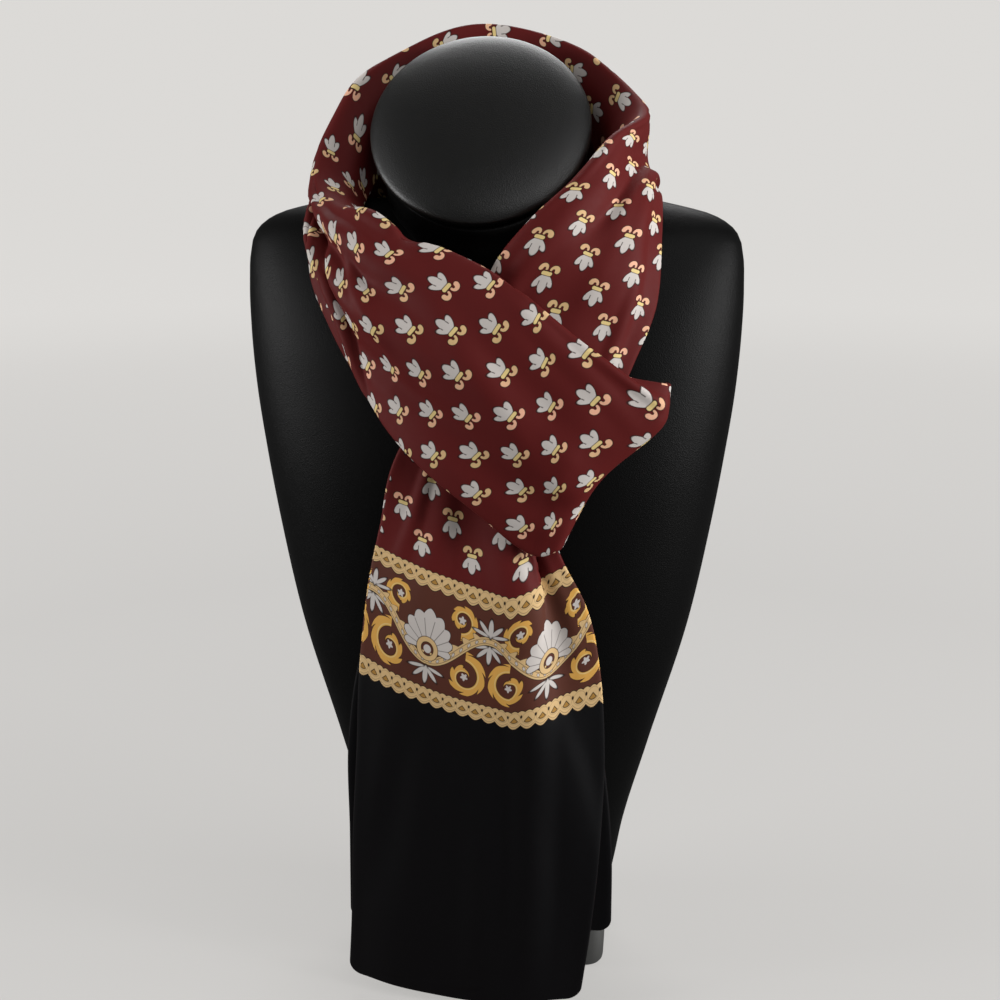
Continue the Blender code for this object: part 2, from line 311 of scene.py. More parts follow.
class Tree:
    """A material's node tree with its surface shader, and short ways to add to it."""

    def __init__(self, name: str) -> None:
        """Starts a material.

        Args:
            name: the material's name.
        """
        self.material = bpy.data.materials.new(name)
        self.material.use_nodes = True
        self.tree = self.material.node_tree
        self.shader = self.tree.nodes["Principled BSDF"]

    def set(self, **values: float | Colour) -> None:
        """Sets the shader's own sockets.

        Args:
            values: numbers and colours by the socket's name, where an underscore stands for a space.
        """
        for name, value in values.items():
            socket = self.shader.inputs[name.replace("_", " ")]
            socket.default_value = (*value, 1.0) if isinstance(value, tuple) else value

    def join(self, socket: bpy.types.NodeSocket, name: str) -> None:
        """Links a socket to one of the shader's inputs."""
        self.tree.links.new(socket, self.shader.inputs[name])

    def coordinate(self, kind: str) -> bpy.types.NodeSocket:
        """One of the surface's coordinates, such as Object."""
        return self.tree.nodes.new("ShaderNodeTexCoord").outputs[kind]

    def noise(self, place: bpy.types.NodeSocket, scale: float, detail: float = 2.0,
              roughness: float = 0.5) -> Field:
        """Cloudy noise.

        Args:
            place: the coordinate that it is read at.
            scale: how many cells it has to the unit.
            detail: how many finer layers it has.
            roughness: how much the finer layers count.

        Returns:
            The noise, from 0 to 1.
        """
        node = self.tree.nodes.new("ShaderNodeTexNoise")
        node.inputs["Scale"].default_value = scale
        node.inputs["Detail"].default_value = detail
        node.inputs["Roughness"].default_value = roughness
        self.tree.links.new(place, node.inputs["Vector"])
        return Field(self.tree, node.outputs["Fac"])

    def cells(self, place: bpy.types.NodeSocket, scale: float) -> Field:
        """Scattered points.

        Args:
            place: the coordinate that they are read at.
            scale: how many there are to the unit.

        Returns:
            The distance to the nearest point.
        """
        node = self.tree.nodes.new("ShaderNodeTexVoronoi")
        node.inputs["Scale"].default_value = scale
        self.tree.links.new(place, node.inputs["Vector"])
        return Field(self.tree, node.outputs["Distance"])

    def mix(self, share: Field, low: bpy.types.NodeSocket | Colour,
            high: bpy.types.NodeSocket | Colour) -> bpy.types.NodeSocket:
        """A colour between two.

        Args:
            share: 0 for the low one, 1 for the high one.
            low: the first colour, or the socket that gives it.
            high: the second one.

        Returns:
            The socket with the mixed colour.
        """
        node = self.tree.nodes.new("ShaderNodeMix")
        node.data_type = "RGBA"
        self.tree.links.new(share.socket, node.inputs["Factor"])
        for name, value in (("A", low), ("B", high)):
            socket = [s for s in node.inputs if s.name == name and s.type == "RGBA"][0]
            if isinstance(value, tuple):
                socket.default_value = (*value, 1.0)
            else:
                self.tree.links.new(value, socket)
        return [s for s in node.outputs if s.type == "RGBA"][0]

    def bump(self, height: Field, distance: float, strength: float) -> None:
        """Raises the surface.

        Args:
            height: how far, as a share of the distance.
            distance: the distance in metres.
            strength: how much of it is shown.
        """
        node = self.tree.nodes.new("ShaderNodeBump")
        node.inputs["Distance"].default_value = distance
        node.inputs["Strength"].default_value = strength
        self.tree.links.new(height.socket, node.inputs["Height"])
        self.join(node.outputs["Normal"], "Normal")


@dataclass(frozen=True)
class Leatherette:
    """Black leathercloth with a fine grain."""

    name: str = "black_leatherette"
    colour: Colour = linear(4, 4, 4)
    worn: Colour = linear(7, 7, 7)
    roughness: float = 0.42
    specular: float = 0.07
    patch_cells: float = 9.0  # to the metre, as are the other cells
    grain_cells: float = 1500.0
    fine_cells: float = 3300.0
    grain_depth: float = 0.00022

    def material(self) -> bpy.types.Material:
        """Makes the material.

        Returns:
            The material, for the mesh.
        """
        made = Tree(self.name)
        place = made.coordinate("Object")
        patches = made.noise(place, self.patch_cells, 3.0)
        grain = made.cells(place, self.grain_cells)
        fine = made.noise(place, self.fine_cells)
        made.join(made.mix(patches, self.colour, self.worn), "Base Color")
        made.join((patches * 0.10 + (self.roughness - 0.05) + grain * 0.05).socket, "Roughness")
        made.bump(grain * 0.8 + fine * 0.35, self.grain_depth, 0.55)
        made.set(Specular_IOR_Level=self.specular)
        return made.material


@dataclass(frozen=True)
class Moulded:
    """Satin black plastic of the foot."""

    name: str = "satin_black_foot"
    colour: Colour = linear(42, 42, 42)
    scuffed: Colour = linear(84, 84, 82)
    roughness: float = 0.38
    scuff_cells: float = 40.0  # to the metre, as are the fine ones
    fine_cells: float = 900.0
    fine_depth: float = 0.00008

    def material(self) -> bpy.types.Material:
        """Makes the material.

        Returns:
            The material, for the mesh.
        """
        made = Tree(self.name)
        place = made.coordinate("Object")
        scuffs = made.noise(place, self.scuff_cells, 5.0, 0.65)
        fine = made.noise(place, self.fine_cells)
        made.join(made.mix(scuffs, self.colour, self.scuffed), "Base Color")
        made.join((scuffs * 0.2 + self.roughness - 0.1).socket, "Roughness")
        made.bump(fine, self.fine_depth, 0.4)
        return made.material


@dataclass(frozen=True)
class Backdrop:
    """Pale painted paper of the floor."""

    name: str = "pale_backdrop"
    colour: Colour = linear(226, 224, 221)
    painted: Colour = linear(108, 107, 106)
    painted_darker: float = 0.97  # how light its darker patches are, as a share
    patch_cells: float = 1.5  # to the metre
    glow_near: float = 0.575
    glow_far: float = 0.878
    near: float = 0.8  # metres from the middle
    far: float = 3.0

    def material(self) -> bpy.types.Material:
        """Makes the material.

        Returns:
            The material, for the mesh.
        """
        made = Tree(self.name)
        place = made.coordinate("Object")
        patches = made.noise(place, self.patch_cells)
        darker = tuple(self.painted_darker * part for part in self.painted)
        made.join(made.mix(patches, self.painted, darker), "Base Color")
        parts = made.tree.nodes.new("ShaderNodeSeparateXYZ")
        made.tree.links.new(place, parts.inputs["Vector"])
        away = hypotenuse(Field(made.tree, parts.outputs["X"]), Field(made.tree, parts.outputs["Y"]))
        share = (away - self.near).apply("MULTIPLY", 1 / (self.far - self.near), clamp=True)
        made.join((share * (self.glow_far - self.glow_near) + self.glow_near).socket, "Emission Strength")
        made.set(Roughness=0.9, Specular_IOR_Level=0.15, Emission_Color=self.colour)
        return made.material


class Way(Enum):
    """Which way an ornament of the border points."""

    UP = 1.0
    DOWN = -1.0


class Placed(NamedTuple):
    """Where an ornament springs from: its distance aside of the repeat's middle, its height, and its way."""

    side: float
    up: float
    way: Way

    def seen_from(self, side: Field, up: Field) -> tuple[Field, Field]:
        """Distances aside of the place and ahead of it."""
        return side - self.side, (up - self.up) * self.way.value


class Oval(NamedTuple):
    """An oval of the print: its middle, half its size each way before it leans, and its lean in degrees."""

    centre: tuple[float, float]
    radii: tuple[float, float]
    lean: float = 0.0

    def outline(self, x: Field, y: Field) -> Field:
        """How far a place lies from its outline.

        Args:
            x: the place's first coordinate.
            y: the second one.

        Returns:
            About the distance, below 0 inside the oval.
        """
        slope = math.radians(self.lean)
        px, py = x - self.centre[0], y - self.centre[1]
        wide, tall = self.radii
        along = px.apply("MULTIPLY_ADD", math.cos(slope) / wide, py * (math.sin(slope) / wide))
        aside = px.apply("MULTIPLY_ADD", -math.sin(slope) / tall, py * (math.cos(slope) / tall))
        return (hypotenuse(along, aside) - 1) * min(self.radii)


class Bud(NamedTuple):
    """The printed bud, upwards from the petals' tips, and its repeat on the cloth, in millimetres."""

    repeat_along: float = 35.0
    repeat_across: float = 32.5
    first_along: float = 298.5
    first_across: float = -12.5
    nearest_border: float = 290.0  # a bud whose middle is nearer than this to a hem is left out
    length: float = 15.8
    middle: Oval = Oval((0.95, 5.1), (2.45, 5.0), 11.0)
    upright: Oval = Oval((-2.2, 6.2), (1.95, 4.1), -30.0)
    spread: Oval = Oval((3.3, 6.9), (1.6, 4.2), 47.0)
    cup: Oval = Oval((0.0, 7.7), (2.8, 1.8))
    notch_top: float = 6.2
    notch_half_width: float = 0.28
    collar_up: float = 10.7
    collar_half_width: float = 2.1
    collar_radius: float = 1.05
    tip_centre: tuple[float, float] = (3.0, 13.1)
    tip_radius: float = 1.8
    tip_half_width: float = 0.45
    tip_taper: float = 0.19


class Edging(NamedTuple):
    """The scalloped gold edging: its repeat, its thickness, and what is drawn in each scallop."""

    pitch: float = 8.2
    thick: float = 11.0
    low_edge: float = 2.2
    low_swing: float = 2.6
    high_swing: float = 1.0
    seam: float = 1.15  # height of the line drawn above the scallops' edge
    eyelet: Oval = Oval((0.0, 7.4), (0.62, 1.05))
    fan_up: float = 6.6
    fan_radius: float = 2.8
    arch_up: float = 6.3
    arch_radius: float = 3.6


class Vine(NamedTuple):
    """The gold vine of the border, which waves between the palmettes."""

    half_repeat: float = 38.0
    middle: float = 28.0
    swing: float = 11.5
    half_width: float = 2.2
    leaf_pitch: float = 6.4
    leaf_height: float = 2.6
    pearl_pitch: float = 4.6
    pearl_radius: float = 0.75
    channel: float = 1.25  # how far out from its middle line the two fine lines run


class Palmette(NamedTuple):
    """The white fan of petals over a gold ring, at the lowest places of the vine."""

    up: float = 23.0
    ribs: float = 8.0
    reach: float = 20.0
    lobe: float = 2.6
    narrowing: float = 5.2
    half_angle: float = 1.7
    inner_reach: float = 4.6
    vein_reach: float = 16.5
    ring_radius: float = 5.2
    ring_half_width: float = 1.25
    eye_radius: float = 2.3


class Border(NamedTuple):
    """The patterned border's bands, as distances from the end of the scarf, and its ornaments."""

    edging_low: float = 205.0
    ground_low: float = 216.0
    ground_high: float = 273.0
    overlap: float = 5.0  # how far a ground runs on under the edging above it
    vine: Vine = Vine()
    palmette: Palmette = Palmette()
    low_scroll: Placed = Placed(24.0, 14.6, Way.DOWN)
    low_scroll_pitch: float = 7.6
    high_scroll: Placed = Placed(20.0, 46.0, Way.UP)
    high_scroll_pitch: float = 5.6
    hanging_spray: Placed = Placed(38.0, 36.0, Way.DOWN)
    standing_spray: Placed = Placed(38.0, 42.4, Way.UP)
    palmette_spray: Placed = Placed(0.0, 12.6, Way.DOWN)
    leaves: tuple[Oval, ...] = (
        Oval((0.0, 4.6), (1.5, 5.2)),
        Oval((3.9, 3.8), (1.15, 4.6), -44.0),
        Oval((6.0, 0.9), (0.95, 4.6), -78.0),
    )


class Drawing:
    """The cloth's colour, which shapes are printed onto one after another."""

    def __init__(self, made: Tree, ground: bpy.types.NodeSocket, ink: Colour, blur: float) -> None:
        """Starts from the ground colour.

        Args:
            made: the material's tree.
            ground: the ground colour.
            ink: the colour of outlines.
            blur: softness of a printed edge.
        """
        self.made = made
        self.colour = ground
        self.ink = ink
        self.blur = blur

    def tint(self, share: Field, colour: bpy.types.NodeSocket | Colour) -> None:
        """Lays a colour on as far as `share` goes."""
        self.colour = self.made.mix(share, self.colour, colour)

    def fill(self, shape: Field, colour: bpy.types.NodeSocket | Colour) -> None:
        """Lays a colour on inside a shape, told by a distance that is below 0 there."""
        self.tint(shape.inside(self.blur), colour)

    def fill_with_rim(self, shape: Field, colour: bpy.types.NodeSocket | Colour, rim: float,
                      strength: float = 1.0) -> None:
        """Lays a colour on inside a shape, and ink of some strength as far as `rim` round it."""
        self.tint((shape - rim).inside(self.blur) * strength, self.ink)
        self.fill(shape, colour)


@dataclass(frozen=True)
class Print:
    """Printed satin-faced cashmere: buds on burgundy, a patterned border and a plain black end."""

    name: str = "printed_cashmere"
    burgundy: Colour = linear(90, 25, 24)
    burgundy_deep: Colour = linear(79, 21, 20)
    petal: Colour = linear(190, 183, 178)
    gold: Colour = linear(202, 170, 122)
    gold_pale: Colour = linear(212, 188, 128)
    gold_warm: Colour = linear(206, 156, 78)
    gold_deep: Colour = linear(160, 120, 60)
    rose_gold: Colour = linear(222, 168, 140)
    ink: Colour = linear(30, 18, 16)
    brown: Colour = linear(82, 46, 36)
    black: Colour = linear(7, 7, 9)
    sheen: Colour = linear(225, 120, 105)
    roughness: float = 0.62
    rib_pitch: float = 0.8
    weave_depth: float = 0.00006
    tone_cells: float = 6.0  # to the metre, as are the fuzz's
    fuzz_cells: float = 260.0
    blur: float = 0.35  # softness of a printed edge
    fine_rim: float = 0.35
    bud: Bud = Bud()
    edge: Edging = Edging()
    border: Border = Border()

    def material(self, length: float) -> bpy.types.Material:
        """Makes the material.

        Args:
            length: the scarf's whole length in millimetres.

        Returns:
            The material, which reads the cloth's own measure from the mesh's UV map.
        """
        made = Tree(self.name)
        uv = made.tree.nodes.new("ShaderNodeUVMap")
        uv.uv_map = ScarfStrip.uv_map
        parts = made.tree.nodes.new("ShaderNodeSeparateXYZ")
        made.tree.links.new(uv.outputs["UV"], parts.inputs["Vector"])
        across = Field(made.tree, parts.outputs["X"]) * (1 / MM)
        along = Field(made.tree, parts.outputs["Y"]) * (1 / MM)
        from_end = along.least(-along + length)

        tone = made.noise(made.coordinate("Object"), self.tone_cells)
        drawing = Drawing(made, made.mix(tone, self.burgundy_deep, self.burgundy), self.ink, self.blur)
        self.draw_buds(drawing, across, along, length)
        self.draw_border(drawing, across, from_end)
        drawing.fill(from_end - self.border.edging_low - self.border.overlap, self.black)
        self.draw_edging(drawing, across, from_end - self.border.ground_high)
        self.draw_edging(drawing, across, from_end - self.border.edging_low)
        made.join(drawing.colour, "Base Color")
        self.weave(made, across, along)
        return made.material

    def draw_buds(self, drawing: Drawing, across: Field, along: Field, length: float) -> None:
        """The small repeat: three petals, a collar and two curling tips, in rows that are offset by half.

        Args:
            drawing: what it is drawn on.
            across: the cloth's measure across.
            along: the cloth's measure along.
            length: the scarf's whole length.
        """
        bud = self.bud
        wide, tall = bud.repeat_across, bud.repeat_along
        near_x, near_y = across.centred(wide, bud.first_across), along.centred(tall, bud.first_along)
        far_x = across.centred(wide, bud.first_across + wide / 2)
        far_y = along.centred(tall, bud.first_along + tall / 2)
        pick = (near_x.size() * (2 / wide) + near_y.size() * (2 / tall)).over(1.0)
        aside = far_x.between(near_x, pick)
        up = far_y.between(near_y, pick) + bud.length / 2
        half = aside.size()
        middle = bud.middle.outline(aside, up)
        side = bud.upright.outline(aside, up).least(bud.spread.outline(aside, up))
        petals = middle.least(side).least(bud.cup.outline(aside, up))
        collar = hypotenuse((half - bud.collar_half_width).most(0.0), up - bud.collar_up) - bud.collar_radius
        tips = bow(half, up, bud.tip_centre, bud.tip_radius) - (half * bud.tip_taper + bud.tip_half_width)
        centre = along - up + bud.length / 2
        whole = (centre.least(-centre + length) - bud.nearest_border).over(0.0)
        away = whole * -50.0 + 50.0  # puts a left-out bud far outside its own outline
        petals, collar, tips, middle = petals + away, collar + away, tips + away, middle + away
        drawing.tint((petals.least(collar.least(tips)) - 0.42).inside(self.blur) * 0.85, self.ink)
        drawing.fill(petals, self.petal)
        notch = (middle.size() - bud.notch_half_width).most(up - bud.notch_top).inside(self.blur)
        drawing.tint(notch * (side - 0.1).inside(self.blur) * 0.85, self.ink)
        drawing.fill_with_rim(collar, self.gold_pale, 0.4, 0.9)
        blush = (along * 0.045 + across * 0.07).cosine() * 0.5 + 0.5
        drawing.fill(tips, drawing.made.mix(blush, self.gold, self.rose_gold))

    def draw_edging(self, drawing: Drawing, across: Field, height: Field) -> None:
        """A gold band with large scallops below and small ones above, small fans and eyelets drawn on it.

        Args:
            drawing: what it is drawn on.
            across: the cloth's measure across.
            height: distance from the band's foot, away from the scarf's end.
        """
        edge = self.edge
        low = (across * (math.pi / edge.pitch)).cosine().size() * -edge.low_swing + edge.low_edge
        high = (across * (2 * math.pi / edge.pitch)).cosine().size() * edge.high_swing
        high = high + (edge.thick - edge.high_swing)
        band = (low - height).most(height - high)
        drawing.fill_with_rim(band, self.gold, 0.5)
        seam = (height - low - edge.seam).line(0.16, self.blur) * 0.8
        x = across.centred(edge.pitch)
        arch = (hypotenuse(x, height - edge.arch_up) - edge.arch_radius).line(0.14, self.blur) * 0.5
        drawing.tint(seam.most(arch) * 0.75 * band.inside(self.blur), self.ink)
        fan = hypotenuse(x, height - edge.fan_up) - edge.fan_radius
        drawing.fill_with_rim(fan.most((x.size() * 1.1 + height - edge.fan_up) * 0.7), self.gold_deep, 0.45)
        drawing.fill(edge.eyelet.outline(across.centred(edge.pitch, edge.pitch / 2), height), self.ink)

    def draw_border(self, drawing: Drawing, across: Field, from_end: Field) -> None:
        """Brown ground with a running gold vine, white palmettes and scrolls round small rosettes.

        Args:
            drawing: what it is drawn on.
            across: the cloth's measure across.
            from_end: distance from the nearer end of the scarf.
        """
        border = self.border
        up = from_end - border.ground_low
        side = across.centred(2 * border.vine.half_repeat).size()
        drawing.fill(from_end - border.ground_high - border.overlap, self.brown)
        self.draw_spray(drawing, *border.hanging_spray.seen_from(side, up))
        self.draw_scroll(drawing, *border.low_scroll.seen_from(side, up), border.low_scroll_pitch)
        self.draw_scroll(drawing, *border.high_scroll.seen_from(side, up), border.high_scroll_pitch)
        self.draw_vine(drawing, side, up)
        self.draw_palmette(drawing, side, up - border.palmette.up)
        self.draw_spray(drawing, *border.palmette_spray.seen_from(side, up))
        self.draw_spray(drawing, *border.standing_spray.seen_from(side, up))

    def draw_scroll(self, drawing: Drawing, aside: Field, ahead: Field, pitch: float) -> None:
        """A gold leafy scroll round a white rosette.

        Args:
            drawing: what it is drawn on.
            aside: distance from the scroll's middle, aside.
            ahead: distance from it, away from where the scroll springs.
            pitch: how far its arms are apart.
        """
        radius = hypotenuse(ahead, aside)
        angle = aside.apply("ARCTAN2", ahead)
        turns = radius * (1 / pitch) - angle * (1 / (2 * math.pi))
        number = turns.apply("ROUND")
        arm = (turns - number) * pitch
        half_width = radius * 0.11 + 0.62
        lobes = (angle * 3.0 + arm * 0.8).cosine().size() * number.over(0.5) * radius * 0.22
        stroke = (arm - half_width - lobes).most(-arm - half_width)
        stroke = stroke.most((number - 1.5) * 50.0).most(-radius + pitch * 0.42)
        drawing.fill_with_rim(stroke, self.gold_warm, self.fine_rim)
        light = (arm + half_width * 0.45).line(0.3, self.blur) * stroke.inside(self.blur)
        drawing.tint(light * 0.8, self.gold_pale)
        rosette_radius, rosette_petals, petal_depth = 1.9, 5.0, 0.5
        drawing.fill(radius - (angle * rosette_petals).cosine() * petal_depth - rosette_radius, self.petal)

    def draw_vine(self, drawing: Drawing, side: Field, up: Field) -> None:
        """A gold vine that waves between the palmettes, leafy above, with a row of pearls along it.

        Args:
            drawing: what it is drawn on.
            side: distance aside of the nearest palmette's middle.
            up: height above the foot of the brown ground.
        """
        vine = self.border.vine
        wave = side * (math.pi / vine.half_repeat)
        rise = up + wave.cosine() * vine.swing - vine.middle
        slope = wave.apply("SINE") * (vine.swing * math.pi / vine.half_repeat)
        above = rise / (slope * slope + 1.0).root()
        leaf = (side * (2 * math.pi / vine.leaf_pitch) + above * 0.9).cosine().most(0.0)
        body = (above - leaf * vine.leaf_height - vine.half_width).most(-above - vine.half_width)
        drawing.fill_with_rim(body, self.gold, self.fine_rim)
        channel = (above.size() - vine.channel).line(0.14, self.blur) * 0.8
        drawing.tint(channel * body.inside(self.blur), self.ink)
        along = side.centred(vine.pearl_pitch, vine.pearl_pitch / 2)
        pearl = hypotenuse(along, above * 1.15) - vine.pearl_radius
        drawing.fill_with_rim(pearl, self.petal, 0.3, 0.8)

    def draw_palmette(self, drawing: Drawing, side: Field, up: Field) -> None:
        """A white fan of petals over a gold ring.

        Args:
            drawing: what it is drawn on.
            side: distance aside of the palmette's middle.
            up: height above the ring's middle.
        """
        shape = self.border.palmette
        radius = hypotenuse(side, up)
        angle = side.apply("ARCTAN2", up)
        ribs = (angle * shape.ribs).cosine().size()
        tip = (ribs * shape.lobe - angle * shape.narrowing) + shape.reach
        fan = (radius - tip).most((angle - shape.half_angle) * shape.ribs)
        fan = fan.most(-radius + shape.inner_reach)
        drawing.fill_with_rim(fan, self.petal, 0.4)
        veins = (ribs * radius * (1 / shape.ribs) - 0.2).inside(self.blur)
        veins = veins * (-radius + shape.vein_reach).over(0.0)
        drawing.tint(veins * 0.7 * fan.inside(self.blur), self.ink)
        ring = (radius - shape.ring_radius).size() - shape.ring_half_width
        drawing.fill_with_rim(ring, self.gold, self.fine_rim)
        drawing.fill(radius - shape.eye_radius, self.petal)

    def draw_spray(self, drawing: Drawing, aside: Field, ahead: Field) -> None:
        """White leaves that spread from a point, with a fine dark outline.

        Args:
            drawing: what it is drawn on.
            aside: distance aside of the point.
            ahead: distance ahead of it, the way that the leaves grow.
        """
        half = aside.size()
        leaves, *others = [leaf.outline(half, ahead) for leaf in self.border.leaves]
        for leaf in others:
            leaves = leaves.least(leaf)
        drawing.fill_with_rim(leaves, self.petal, self.fine_rim)

    def weave(self, made: Tree, across: Field, along: Field) -> None:
        """A fine diagonal rib and the cloth's soft sheen.

        Args:
            made: the material's tree.
            across: the cloth's measure across.
            along: the cloth's measure along.
        """
        rib = ((across + along) * (2 * math.pi / self.rib_pitch)).cosine() * 0.5 + 0.5
        fuzz = made.noise(made.coordinate("Object"), self.fuzz_cells)
        made.bump(rib * 0.4 + fuzz * 1.2, self.weave_depth, 0.6)
        made.join((fuzz * 0.14 + self.roughness - 0.07).socket, "Roughness")
        made.set(Sheen_Weight=0.03, Sheen_Roughness=0.4, Sheen_Tint=self.sheen, Specular_IOR_Level=0.10)


# ----------------------------------------------------------------------------------------------------
# The scarf
# ----------------------------------------------------------------------------------------------------


class Section(NamedTuple):
    """A cross-section of the cloth: its edges and crest, how far each side swells, and the panel's pull."""

    inner: Point
    crest: Point
    outer: Point
    bow_in: float
    bow_out: float
    pull: Point = (0.0, 0.0, 0.0)


SECTIONS: list[Section] = [
    # front tail, from the hem up: the inner edge is on the left
    Section((-83, -84, 11), (-24, -99, 6), (60, -98, 9), 3, 6),
    Section((-80, -87, 50), (-26, -100, 49), (65, -98, 50), 3, 5),
    Section((-77, -90, 111), (-26, -101, 111), (70, -95, 111), 2, 6),
    Section((-73, -91, 168), (-26, -102, 168), (72, -92, 168), 2, 7),
    Section((-70, -91, 219), (-25, -102, 217), (68, -90, 222), 2, 7),
    Section((-64, -90, 268), (-24, -98, 265), (60, -90, 258), 2, 6),
    Section((-57, -85, 303), (-22, -89, 301), (42, -86, 297), 1, 3),
    Section((-49, -79, 340), (-20, -80, 339), (50, -80, 331), 0, 1),
    # under the crossing, then up the right side of the chest
    Section((-16, -75, 398), (-7, -79, 392), (64, -76, 354), 1, 3),
    Section((12, -66, 453), (8, -77, 448), (84, -64, 396), 2, 6),
    Section((24, -60, 462), (29, -74, 476), (96, -53, 428), 2, 9),
    Section((43, -54, 474), (50, -62, 496), (98, -37, 464), 3, 8),
    Section((58, -34, 480), (66, -42, 515), (98, -6, 485), 4, 4),
    # behind the neck, from right to left
    Section((64, -4, 492), (84, 0, 535), (92, 42, 463), 5, 2),
    Section((58, 24, 515), (72, 19, 550), (80, 56, 455), 4, 4),
    Section((42, 42, 535), (52, 35, 566), (58, 64, 450), 4, 5),
    Section((16, 52, 552), (20, 47, 579), (24, 68, 446), 3, 6),
    Section((-20, 52, 555), (-20, 49, 583), (-20, 69, 445), 3, 6),
    Section((-50, 40, 536), (-56, 38, 569), (-60, 63, 449), 4, 5),
    Section((-66, 18, 508), (-83, 20, 549), (-88, 52, 458), 4, 4),
    # over the left shoulder, gathered
    Section((-74, -6, 487), (-97, -2, 519), (-100, 24, 484), 5, 2),
    Section((-76, -22, 478), (-99, -23, 495), (-102, -24, 480), 4, 1),
    Section((-70, -40, 470), (-89, -42, 482), (-101, -50, 442), 3, 4),
    Section((-60, -52, 464), (-70, -60, 476), (-89, -62, 416), 3, 9),
    # the band across the chest
    Section((-42, -64, 458), (-47, -74, 466), (-72, -72, 388), 3, 13),
    Section((-20, -72, 455), (-22, -81, 462), (-53, -81, 363), 2, 15),
    Section((8, -84, 444), (6, -91, 449), (-25, -92, 338), 2, 14),
    Section((27, -91, 430), (25, -97, 435), (3, -98, 317), 1, 13),
    Section((48, -94, 414), (45, -100, 419), (23, -101, 299), 1, 11),
    Section((79, -97, 393), (77, -103, 392), (36, -103, 293), 1, 8, (-4, 0, 2)),
    Section((102, -94, 388), (100, -99, 370), (46, -101, 297), 1, 2, (-8, 0, 3)),
    # the turn at the right end, and back behind the front tail
    Section((101, -80, 385), (97, -80, 366), (45, -79, 298), 1, 1, (-8, 0, 3)),
    Section((86, -72, 360), (72, -73, 346), (24, -75, 291), 0, 0, (-4, 0, 2)),
    Section((56, -73, 330), (44, -74, 318), (-8, -75, 289), 0, 0),
    Section((40, -75, 298), (24, -76, 292), (-40, -76, 282), 0, 1),
    Section((48, -78, 262), (26, -79, 260), (-60, -78, 254), 0, 1),
    Section((61, -79, 220), (30, -80, 220), (-72, -79, 219), 0, 2),
    # back tail
    Section((70, -79, 168), (30, -82, 168), (-80, -80, 168), 0, 3),
    Section((77, -80, 104), (30, -84, 104), (-81, -80, 104), 0, 3),
    Section((78, -80, 45), (30, -84, 46), (-82, -80, 46), 0, 3),
]


class Fold(NamedTuple):
    """A fold of the cloth: the sections it runs between, its place across at either end, and its size."""

    first: float
    last: float
    across_first: float
    across_last: float
    height: float
    half_width: float
    bend: float = 0.0  # how far its middle is off a straight line, as a share of the width
    sharp: float = 1.0  # more than 1 draws the crest to a ridge
    peak: float = 0.0  # where across the fold its crest lies, from -1 to 1; near either end it laps over


MAIN_FOLDS: list[Fold] = [
    # front tail: a long soft fold on the right, and the gathers where it leaves the crossing
    Fold(0.0, 6.0, 0.74, 0.66, 4.0, 0.13),
    Fold(3.4, 7.2, 0.86, 0.80, -4.0, 0.10),
    Fold(4.0, 7.2, 0.22, 0.34, 2.5, 0.12),
    # right stretch
    Fold(8.6, 13.4, 0.60, 0.56, -3.5, 0.12),
    Fold(9.2, 13.8, 0.80, 0.76, 3.0, 0.11),
    # behind the neck
    Fold(13.2, 19.4, 0.52, 0.50, -3.0, 0.10),
    Fold(13.8, 19.8, 0.76, 0.78, 3.5, 0.12),
    # pleats gathered over the left shoulder, running out across the band
    Fold(19.6, 25.0, 0.50, 0.46, 4.0, 0.08),
    Fold(20.0, 25.6, 0.63, 0.53, -3.5, 0.07),
    Fold(19.8, 27.0, 0.77, 0.62, 4.0, 0.10),
    Fold(22.0, 27.6, 0.90, 0.76, -2.5, 0.08),
    Fold(25.0, 30.2, 0.86, 0.80, -3.0, 0.10),
    # back tail
    Fold(34.5, 39.0, 0.30, 0.36, 2.5, 0.14),
]

